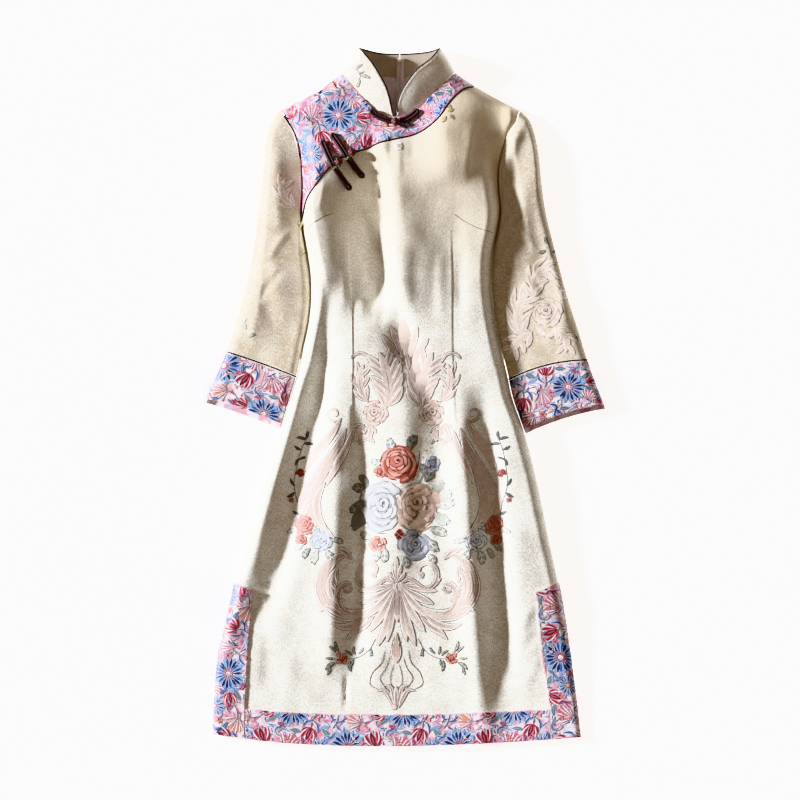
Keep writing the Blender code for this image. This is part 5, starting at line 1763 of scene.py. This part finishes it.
def blade(points, half, fill="dust", line="mauve", layer=0.6, kind="leaf", rim=1.25, veins=1):
    # one pointed lobe of a scrolling leaf: thin dark line, pale edge, rosy inside, fine veins
    pale = "dustLight" if fill == "dust" else fill
    edge = tints["cream"] + (rim,) + tints[line] + (0.85,)
    made = [stroke(points, half, tints[fill] + tints[pale], edge, layer, kind)]
    path = curvePoints(points, np.linspace(0.12, 0.8, 6))
    for i in range(veins):
        vein = path + leftOf(path) * half * 0.34 * (i - (veins - 1) / 2)
        made.append(stroke(vein, 0.34 if i % 2 else 0.5, line, None, layer + 1.1))
    return made


def lobe(points, half, *given, **settings):
    return blade(chartedPath(points), half, *given, **settings)


def plume(points, half, lobes, sides=(1, -1), fill="dust", line="mauve", layer=0.6, spread=1.25):
    # an acanthus leaf: long pointed lobes leave its spine, and lie forward over one another
    spine = curvePoints(chartedPath(points), np.linspace(0, 1, 60))
    left = leftOf(spine)
    half = half * chart["square"]
    made = blade(spine[::4], half * 0.62, fill, line, layer + 0.9)
    for i in range(lobes):
        for side in sides:
            share = i / max(lobes - 1, 1)
            t = 0.04 + 0.62 * share + dice.uniform(-0.02, 0.02)
            tall = 0.34 * dice.uniform(0.9, 1.1)
            steps = [int(np.clip(t + tall * part, 0, 1) * 59) for part in (0, 0.5, 1)]
            swell = spread * (0.7 + 0.6 * math.sin(math.pi * (0.2 + 0.6 * share)))
            path = [spine[step] + left[step] * side * half * out for step, out in zip(steps,
                (0.1, 0.62 * swell, 1.12 * swell))]
            made += blade(path, half * 0.36, fill, line, layer + 1.6 * (1 - share))
    return made


def ribbon(points, half, fill="dust", line="mauve", layer=1.0, kind="tail"):
    # a narrow scroll with a pale edge each side and one fine line along it
    return lobe(points, half * chart["square"], fill, line, layer, kind, rim=0.7)


def volute(x, y, radius, start, way, width, fill="dust", line="mauve"):
    radius = radius * chart["square"]
    path = spiral(radius, 1.2, start, 0.74, 20, way) + charted(x, y)
    return blade(path, radius * width, fill, line, 1.4, "tail", rim=0.7)


def vine(points, width, fill="leaf"):
    return [stroke(chartedPath(points), width, fill, None, 0.3, "band")]


def leafAt(x, y, length, turn, fill="leaf", dark="leafDark", vein="leafLight", broad=0.24):
    return put(roseLeaf(length * chart["square"], fill, dark, vein, broad), charted(x, y), turn)


def leavesAt(rows, *given):
    return sum([leafAt(*row, *given) for row in rows], [])


def roseAt(x, y, radius, *given, turn=0, petals=bloom):
    return put(rose(radius * chart["square"], *given, petals=petals), charted(x, y), turn)


def budAt(x, y, radius, light="coralLight", mid="coral", dark="brick", squeeze=1.0):
    return roseAt(x, y, radius, light, mid, dark, squeeze, petals=smallBloom)


def dotAt(x, y, *given):
    return put(dot(0, 0, *given), charted(x, y))


def half():
    # the left half of the ornament; the right half is its mirror image
    made = []
    # a leaf rises from each upper rose, and a thin arc leaves it
    made += plume([(385, 409), (389, 396), (388, 381), (384, 365), (378, 349)], 9.5, 5)
    made += plume([(368, 402), (361, 390), (360, 376), (364, 362)], 6.5, 3, spread=1.0)
    made += ribbon([(351, 359), (356, 354), (363, 353.5), (371, 359)], 1.2, kind="band")
    made += plume([(364, 424), (358, 433), (355, 444)], 4.5, 2)
    made += plume([(371, 425), (370, 434), (368, 443)], 4.2, 2)
    made += roseAt(374.5, 414, 12.5, "dustLight", "blush", "mauveDark")
    # the long curved leaf at the side, with its curl
    made += lobe([(346, 428), (337, 448), (325, 468), (314, 488), (311, 506), (320, 524), (334, 538)],
        11.5, layer=0.5, veins=5, rim=1.6)
    for size, layer, veins, *points in (
        (6.5, 1.4, 2, (341, 418), (331, 434), (318, 450), (305, 471)),
        (5.5, 1.8, 2, (352, 430), (346, 448), (336, 466), (326, 486)),
        (5.5, 1.6, 2, (322, 470), (309, 486), (301, 504), (300, 516)),
        (5.5, 2.2, 2, (325, 482), (317, 500), (318, 516), (328, 532)),
        (4.0, 2.6, 1, (316, 496), (306, 506), (303, 520)),
    ):
        made += lobe(points, size, layer=layer, veins=veins)
    made += volute(334, 414, 7.5, 290, -1, 0.17)
    # side vine with dark leaves and small flowers
    made += vine([(310, 432), (302, 448), (297, 466), (294, 484), (298, 504), (302, 518)], 0.6)
    made += leavesAt(((306, 440, 10, 75), (305, 440, 10, -15), (304, 444, 10, -95), (302, 450, 9, 60),
        (300, 458, 9, 150), (299, 460, 8, -70), (295, 486, 9, 30), (295, 492, 10, 120),
        (298, 506, 9, -60), (301, 514, 9, 70)), "leafDark", "slateDark", "leaf", 0.17)
    made += budAt(300.5, 473, 4.8, "coral", "brick", "brick")
    made += budAt(291.5, 500, 3.0)
    made += leavesAt(((318, 550, 16, 165), (326, 549, 15, -140), (310, 548, 13, 150),
        (331, 540, 13, -105), (296, 530, 10, 110), (312, 532, 12, -20), (304, 544, 12, 130)), "leafLight",
        "slateDark", "snow", 0.26)
    made += roseAt(304.5, 524, 10, "coralLight", "coral", "brick", 1.1)
    made += budAt(301, 539, 6.5)
    made += roseAt(320.5, 541, 11.5, "snow", "sky", "slateDark")
    # lower scrolls: a broad band, a curl inside it, and ragged leaves under them
    made += lobe([(352, 553), (336, 558), (325, 572), (322, 590), (330, 606), (346, 615), (366, 612),
        (380, 602)], 10.5, layer=0.4, veins=5, rim=1.6)
    made += lobe([(352, 584), (343, 586), (338, 596), (342, 608), (354, 614), (370, 608)], 5.2, layer=1.4,
        kind="tail", veins=2)
    made += volute(346.5, 588, 5.0, 20, -1, 0.26)
    for size, layer, veins, *points in (
        (4.2, 1.8, 1, (346, 618), (335, 612), (326, 607), (319, 612)),
        (5.2, 1.6, 2, (372, 612), (356, 624), (344, 627), (331, 623)),
        (4.6, 2.0, 2, (374, 616), (364, 626), (354, 632), (346, 640)),
    ):
        made += lobe(points, size, layer=layer, veins=veins)
    made += plume([(338, 566), (330, 580), (331, 596), (340, 606)], 5.0, 3, sides=(1,), layer=1.2)
    made += lobe([(352, 560), (345, 552), (334, 548)], 4.0, layer=1.6)
    # the open curl beside the middle line
    made += ribbon([(394, 583), (386, 579), (379, 583), (371, 588.5), (363, 586), (358, 577), (360, 568),
        (368, 563), (376, 567), (376, 574)], 1.9, layer=2.6, kind="band")
    rim = tints["cream"] + (0.8,) + tints["mauve"] + (0.7,)
    made += dotAt(374, 575, 4.0, "dust", rim, 3.4)
    made += lobe([(366, 590), (360, 584), (354, 578)], 2.6, layer=2.2)
    # plume of blades under the middle
    for tip, belly, size in (((358, 591), (378, 588), 4.4), ((361, 604), (378, 596), 5.0),
            ((364, 618), (380, 604), 5.4), ((369, 632), (383, 612), 5.6), ((378, 646), (387, 622), 5.6),
            ((387, 642), (391, 620), 4.6)):
        made += lobe([(396.5, 584), belly, tip], size, layer=1.2 + (tip[1] - 590) / 40, kind="petal",
            veins=2)
    # thin loops like an onion's layers, and the calyx they stand in
    for width, *points in (
        (0.55, (385, 650), (382, 662), (372, 674), (370, 684), (379, 690)),
        (0.5, (390, 656), (386, 668), (380, 678), (387, 690)),
        (0.45, (394, 664), (391, 674), (391, 684), (396, 689)),
    ):
        made.append(stroke(chartedPath(points), width, "mauve", None, 0.4, "band"))
    made += lobe([(394, 708), (390, 698), (384, 690), (377, 691)], 3.0, layer=1.2)
    made += lobe([(395, 706), (393, 696), (389, 686), (383, 685)], 2.8, layer=1.2)
    # sprays with small red flowers
    made += vine([(376, 638), (368, 651), (356, 658), (345, 659)], 0.55)
    made += leavesAt(((339, 652, 12, 18), (336, 653, 10, 48), (336, 662, 14, 128), (334, 658, 9, 88),
        (350, 660, 12, 185), (353, 659, 9, 158), (355, 655, 9, 8), (358, 654, 9, -38), (352, 656, 9, 52),
        (371, 648, 9, 172), (370, 649, 8, 205), (330, 666, 10, 160)), "leaf", "leafDark", "leafLight",
        0.16)
    made += budAt(342, 658.5, 6.5)
    return made


def centreFigures():
    # what stands on the middle line, and the bouquet, which isn't mirrored
    made = []
    # five lobes fan out of one foot
    for tip, belly, size, layer in (
        ((381, 334), (394, 351), 4.6, 0.8), ((428.5, 338), (418, 352), 4.6, 0.9),
        ((390, 326), (400, 347), 5.4, 1.8), ((417.5, 326.5), (412, 346), 5.2, 1.9),
        ((402.8, 319), (405, 342), 7.6, 2.9),
    ):
        made += lobe([(408, 370), belly, tip], size, layer=layer, kind="petal", veins=5, rim=1.6)
    made += lobe([(404, 352), (407.5, 362), (408.5, 370)], 3.2, layer=4.2, kind="petal")
    # leaves behind the bouquet
    for x, y, length, turn, light in (
        (368, 492, 17, 76, 0), (368, 486, 14, 42, 0), (368, 500, 15, 108, 0), (368, 512, 24, 142, 0),
        (366, 506, 18, 112, 0), (378, 548, 15, 160, 1), (395, 451, 15, 22, 1), (409, 451, 18, -28, 0),
        (384, 464, 14, 70, 1), (434, 500, 21, -60, 1), (434, 506, 22, -86, 1), (434, 512, 20, -122, 1),
        (430, 530, 18, -108, 1), (428, 538, 17, -140, 1), (432, 494, 18, -34, 1),
        (384, 548, 15, 176, 1), (425, 482, 17, -18, 0), (424, 476, 13, 14, 0), (404, 556, 13, 190, 1),
        (372, 538, 13, 62, 1), (428, 554, 13, -150, 1),
    ):
        shades = ("leafLight", "slateDark", "snow") if light else ("leaf", "leafDark", "leafLight")
        made += leafAt(x, y, length, turn, *shades, 0.3)
    made += vine([(418, 486), (424, 474), (432, 466)], 0.7, "slateDark")
    made += vine([(412, 482), (418, 466), (420, 450)], 0.6, "slateDark")
    made += budAt(433, 464, 7.5, "sky", "slate", "slateDark", 1.2)
    made += roseAt(382, 507, 22, "snow", "lavender", "lavenderDark", 1.22)
    made += roseAt(417.5, 506, 22, "blush", "tan", "tanDark", 1.08)
    made += roseAt(415.5, 546, 16.5, "lavender", "slate", "slateDark", 0.95)
    made += roseAt(397.5, 464, 18.5, "coralLight", "coral", "brick", 0.98)
    made += budAt(380, 472, 6.5)
    made += budAt(377, 544, 9, "blush", "coral", "brick")
    made += budAt(399, 535, 4.6, "coral", "brick", "brick", 1.4)
    for x, y in ((419, 452), (422, 457), (417, 459), (424, 450)):
        made += dotAt(x, y, 1.5, "dustLight", "leafDark", 2.4)
    # finial, knot and drop on the middle line
    for tip, size in (((396, 556), 3.2), ((388, 572), 2.6), ((405, 572), 2.6), ((392, 564), 2.4),
            ((401, 564), 2.4)):
        made += lobe([(396.5, 583), ((396.5 + tip[0]) / 2, (583 + tip[1]) / 2 + 1), tip], size, layer=2.4,
            kind="petal")
    made += lobe([(397, 586), (397, 604), (397, 622)], 4.6, layer=3.2, kind="petal", veins=5)
    made += lobe([(396.5, 632), (396, 648), (396, 663)], 7.0, "blush", layer=3.6, kind="petal", veins=5)
    made += lobe([(396, 710), (396, 698), (396, 686)], 3.4, layer=2.4, kind="petal", veins=2)
    made += dotAt(394, 707, 4.2, "dustLight", "mauve", 2.6)
    return made


leftHalf = half()
figure = leftHalf + mirrored(leftHalf) + centreFigures()
place, fits = fromAbove(("front_panel",))
addFigures("front_panel", figure, place, fits, "figure", base=0.3)


# Smaller woven figures on the sleeves and the collar, and olive sprigs on the bodice

def palePlumes(*rows):
    return sum([plume(points, half, lobes, fill="mist", line="tan") for half, lobes, *points in rows], [])


rightFigure = (
    palePlumes(
        (7.5, 4, (522, 336), (518, 318), (522, 300), (532, 290)),
        (7.0, 4, (534, 298), (534, 282), (542, 270), (556, 270)),
        (6.0, 3, (560, 300), (565, 284), (560, 268)),
        (7.0, 3, (532, 332), (518, 342), (508, 356)),
        (6.0, 3, (556, 328), (566, 340), (566, 354)),
    )
    + ribbon([(540, 276), (548, 264), (560, 264), (563, 272), (556, 276)], 2.2, "mist", "tan")
    + leavesAt(((536, 326, 15, 230), (556, 326, 15, 140)), "mist", "tan", "cream")
    + roseAt(547, 313, 15, "dustLight", "mist", "tanDark", 0.95, turn=10)
    + leavesAt(((548, 244, 8, 20), (546, 250, 8, 110), (552, 252, 7, -70), (578, 342, 8, 40),
                (584, 346, 7, -50)))
    + vine([(545, 236), (549, 246), (551, 258)], 0.6)
)
leftFigure = (
    palePlumes((5.5, 3, (296, 206), (286, 200), (281, 188), (286, 176)))
    + volute(284, 182, 5, 90, 1, 0.16, "mist", "tan")
    + leavesAt(((246, 330, 9, 30), (248, 338, 8, -60), (244, 324, 7, -20)), "leafLight", "leaf")
)
collarTwig = (
    vine([(353, 60), (356, 68), (360, 76), (356, 86)], 0.5)
    + leavesAt(((356, 70, 10, -8), (360, 76, 11, -104), (359, 78, 10, 168), (357, 69, 8, -52)),
               "leafLight", "leafDark", "leafLight", 0.18)
    + leafAt(359, 75, 7, -60, broad=0.16)
)
bodiceSprigs = []
for x, y, turn in ((451, 110.5, 30), (300, 228, -20), (302, 252, 50), (446, 116, 140)):
    for shift, length, way in ((0, 8, 0), (3, 7, 80)):
        bodiceSprigs += leafAt(x + shift, y - shift * 0.6, length, turn + way, "olive", "oliveDark",
            "olive")
outlines = dict(sleeveOutlines)
outlines["collar_left"] = outlineOf(collarGrids["left"][0][:, : collarSize["samples"]])
# A small rosette under the yoke, and the side darts' lines
for i in range(7):
    petal = stroke(ray(math.radians(360 / 7 * i), 1.4, 6.4), 2.5, "snow", "blush", 1.0, "petal")
    bodiceSprigs += put([petal], charted(398.4, 146))
bodiceSprigs += dotAt(398.4, 146, 2.2, "blush", "mauve", 2.6)
# the side darts' dark lines are painted shade in their folds
for points, width in (([(305.8, 231), (312, 224), (320, 218.5), (334, 213)], 0.42),
        ([(454, 214), (464, 221), (478, 228), (494, 233)], 0.36)):
    bodiceSprigs.append(stroke(chartedPath(points), width, "tanDark", None, 0, "band"))
for name, strokes in (("sleeve_right", rightFigure), ("sleeve_left", leftFigure),
        ("collar_left", collarTwig), ("front_panel", bodiceSprigs)):
    place, fits = fromAbove((name,), outlines.get(name))
    title = "bodiceSprigs" if name == "front_panel" else None
    addFigures(name, strokes, place, fits, "figure", title=title)


# Stitches: thread laid along a line at even steps, and the zip's teeth, by Geometry Nodes

def stitchTree(name):
    tree, given, end = newGroup(
        name,
        (("Geometry", "Geometry"), ("Step", "Float", 0.003), ("Length", "Float", 0.002),
         ("Radius", "Float", 0.0002), ("Across", "Float", 0.0), ("Seed", "Int", 7),
         ("Finish", "Material")),
        (("Geometry", "Geometry"),), "GeometryNodeTree",
    )
    values = {"Curve": given["Geometry"], "Length": given["Step"]}
    points = addNode(tree, "GeometryNodeCurveToPoints", values, mode="LENGTH").outputs
    values = {"Vertices": 6, "Depth": given["Length"], "Radius": given["Radius"]}
    sewn = addNode(tree, "GeometryNodeMeshCylinder", values).outputs["Mesh"]
    aside = addNode(tree, "ShaderNodeCombineXYZ", {"Y": given["Across"]}).outputs["Vector"]
    values = {"Rotation": points["Rotation"], "Rotate By": aside}
    turned = addNode(tree, "FunctionNodeRotateRotation", values, rotation_space="LOCAL").outputs
    values = {2: 0.86, 3: 1.08, "Seed": given["Seed"]}
    spread = addNode(tree, "FunctionNodeRandomValue", values, data_type="FLOAT").outputs[1]
    values = {"Points": points["Points"], "Instance": sewn, "Rotation": turned["Rotation"],
        "Scale": spread}
    laid = addNode(tree, "GeometryNodeInstanceOnPoints", values).outputs["Instances"]
    real = addNode(tree, "GeometryNodeRealizeInstances", {"Geometry": laid}).outputs["Geometry"]
    values = {"Geometry": real, "Material": given["Finish"]}
    painted = addNode(tree, "GeometryNodeSetMaterial", values).outputs["Geometry"]
    feed(tree, end, {"Geometry": painted})
    return tree


stitching = stitchTree("stitches in a row")


def stitched(name, lines, finish, seed, step=3.4, length=2.3, radius=0.24, across=0.0):
    curve = bpy.data.curves.new(name + "Line", "CURVE")
    curve.dimensions = "3D"
    for line in lines:
        spline = curve.splines.new("POLY")
        spline.points.add(len(line) - 1)
        corners = np.c_[toMetres(line), np.ones(len(line))]
        spline.points.foreach_set("co", corners.astype(np.float32).ravel())
    guide = placed(name + "Guide", curve)
    row = guide.modifiers.new("stitches", "NODES")
    row.node_group = stitching
    values = {"Step": step * mm, "Length": length * mm, "Radius": radius * mm, "Across": across,
        "Seed": seed, "Finish": finish}
    for item in stitching.interface.items_tree:
        if item.in_out == "INPUT" and item.name in values:
            row[item.identifier] = values[item.name]
    graph = bpy.context.evaluated_depsgraph_get()
    mesh = bpy.data.meshes.new_from_object(guide.evaluated_get(graph), depsgraph=graph)
    mesh.name = name
    bpy.data.objects.remove(guide)
    bpy.data.curves.remove(curve)
    mesh.shade_smooth()
    extras.append(placed(name, mesh))
    print(name, "faces", len(mesh.polygons))


def sideways(grid, normals, off, away, start=3.0):
    # a line beside one edge of a grid, a little above the cloth
    run, along = runAcross(grid), runAlong(grid)
    place, _, _, (widest, tall) = onGrid(grid, normals)
    if away in ("first", "last"):
        rows = np.arange(start, tall - start, 3.0)
        level = np.interp(rows, along, np.arange(len(along)))
        width = np.interp(level, np.arange(len(along)), run[:, -1])
        side = np.full(len(rows), off) if away == "first" else width - off
        flat = np.c_[side, rows]
    else:
        rows = np.arange(start, widest - start, 3.0)
        flat = np.c_[rows, np.full(len(rows), off if away == "foot" else tall - off)]
    points, ups = place(flat)
    return points + ups * stitch["lift"]


stitch = {"lift": 0.3, "band": 1.7, "cuff": 2.0, "collar": 1.5}
rows = []
for key in ("left", "right", "hem", "rear"):
    _, grid, normals = bands[key]
    if key in ("left", "right"):
        towards = 1 if key == "left" else -1
        across = grid[len(grid) // 2, -1, 0] - grid[len(grid) // 2, 0, 0]
        away = "last" if across * towards > 0 else "first"
    else:
        away = "head" if grid[-1, 10, 1] > grid[0, 10, 1] else "foot"
    rows.append(sideways(grid, normals, stitch["band"], away))
stitched("bandStitches", rows, finishes["thread"], seed=3)
rows = [sideways(*cuffGrids[name], stitch["cuff"], end, 1.0) for name in ("left", "right")
    for end in ("head", "foot")]
stitched("cuffStitches", rows, finishes["thread"], seed=5)
rows = [sideways(*collarGrids[name], stitch["collar"], "head", 5.0) for name in ("left", "right")]
stitched("collarStitches", rows, finishes["thread"], step=2.9, length=2.1, seed=9)
teethY = np.arange(zipTape["foot"] + 2, zipTape["top"] - 8, 2.0)
teethZ = np.interp(teethY, tapeY, tapeFace[:, 4, 2])
stitched("zipTeeth", [np.c_[np.full(len(teethY), zipTape["x"]), teethY, teethZ + 0.25]],
    finishes["metal"], step=1.5, length=2.4, radius=0.3, across=math.pi / 2, seed=11)


# The floor, pale and plain, and soft studio light from the upper left

studio = {"floor": 3.0, "floorLevel": -0.0008, "floorGrey": 0.9, "floorGlow": 1.5, "turn": -75,
    "rise": 17, "power": 11.4, "soft": 7, "sun": (0.95, 1.0, 1.08), "sky": (1.0, 0.8, 0.64),
    "skyPower": 0.275}
floorFinish, tree = newMaterial("pale paper")
spot = addNode(tree, "ShaderNodeTexCoord").outputs["Object"]
paper = mixed(tree, noiseAt(tree, spot, 300, 2), tone(246, 246, 246), tone(250, 250, 250))
feed(tree, tree.nodes["Principled BSDF"], {
    "Base Color": paper, "Roughness": studio["floorGrey"], "Emission Color": (1, 1, 1),
    "Emission Strength": studio["floorGlow"],
})
corners = [(x * studio["floor"], y * studio["floor"], studio["floorLevel"]) for x, y in ((-1, -1),
    (1, -1), (1, 1), (-1, 1))]
floor = meshOf("floor", corners, [(0, 1, 2, 3)], floorFinish, 40)

sun = bpy.data.lights.new("key", "SUN")
sun.energy = studio["power"]
sun.angle = math.radians(studio["soft"])
sun.color = studio["sun"]
lamp = placed("key", sun)
turn, rise = math.radians(studio["turn"]), math.radians(studio["rise"])
toLamp = Vector((math.sin(turn) * math.cos(rise), math.cos(turn) * math.cos(rise), math.sin(rise)))
lamp.rotation_euler = toLamp.to_track_quat("Z", "Y").to_euler()
world = bpy.data.worlds.new("studio")
world.use_nodes = True
background = world.node_tree.nodes["Background"]
feed(world.node_tree, background, {"Color": studio["sky"], "Strength": studio["skyPower"]})
bpy.context.scene.world = world
bpy.context.scene.view_settings.view_transform = "Khronos PBR Neutral"


# Every piece rides on the frame's one body, and stands for its CAD node

for name, piece in {**pieces, **frogs}.items():
    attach(piece, "root")
    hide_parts(name)
for extra in extras:
    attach(extra, "root")
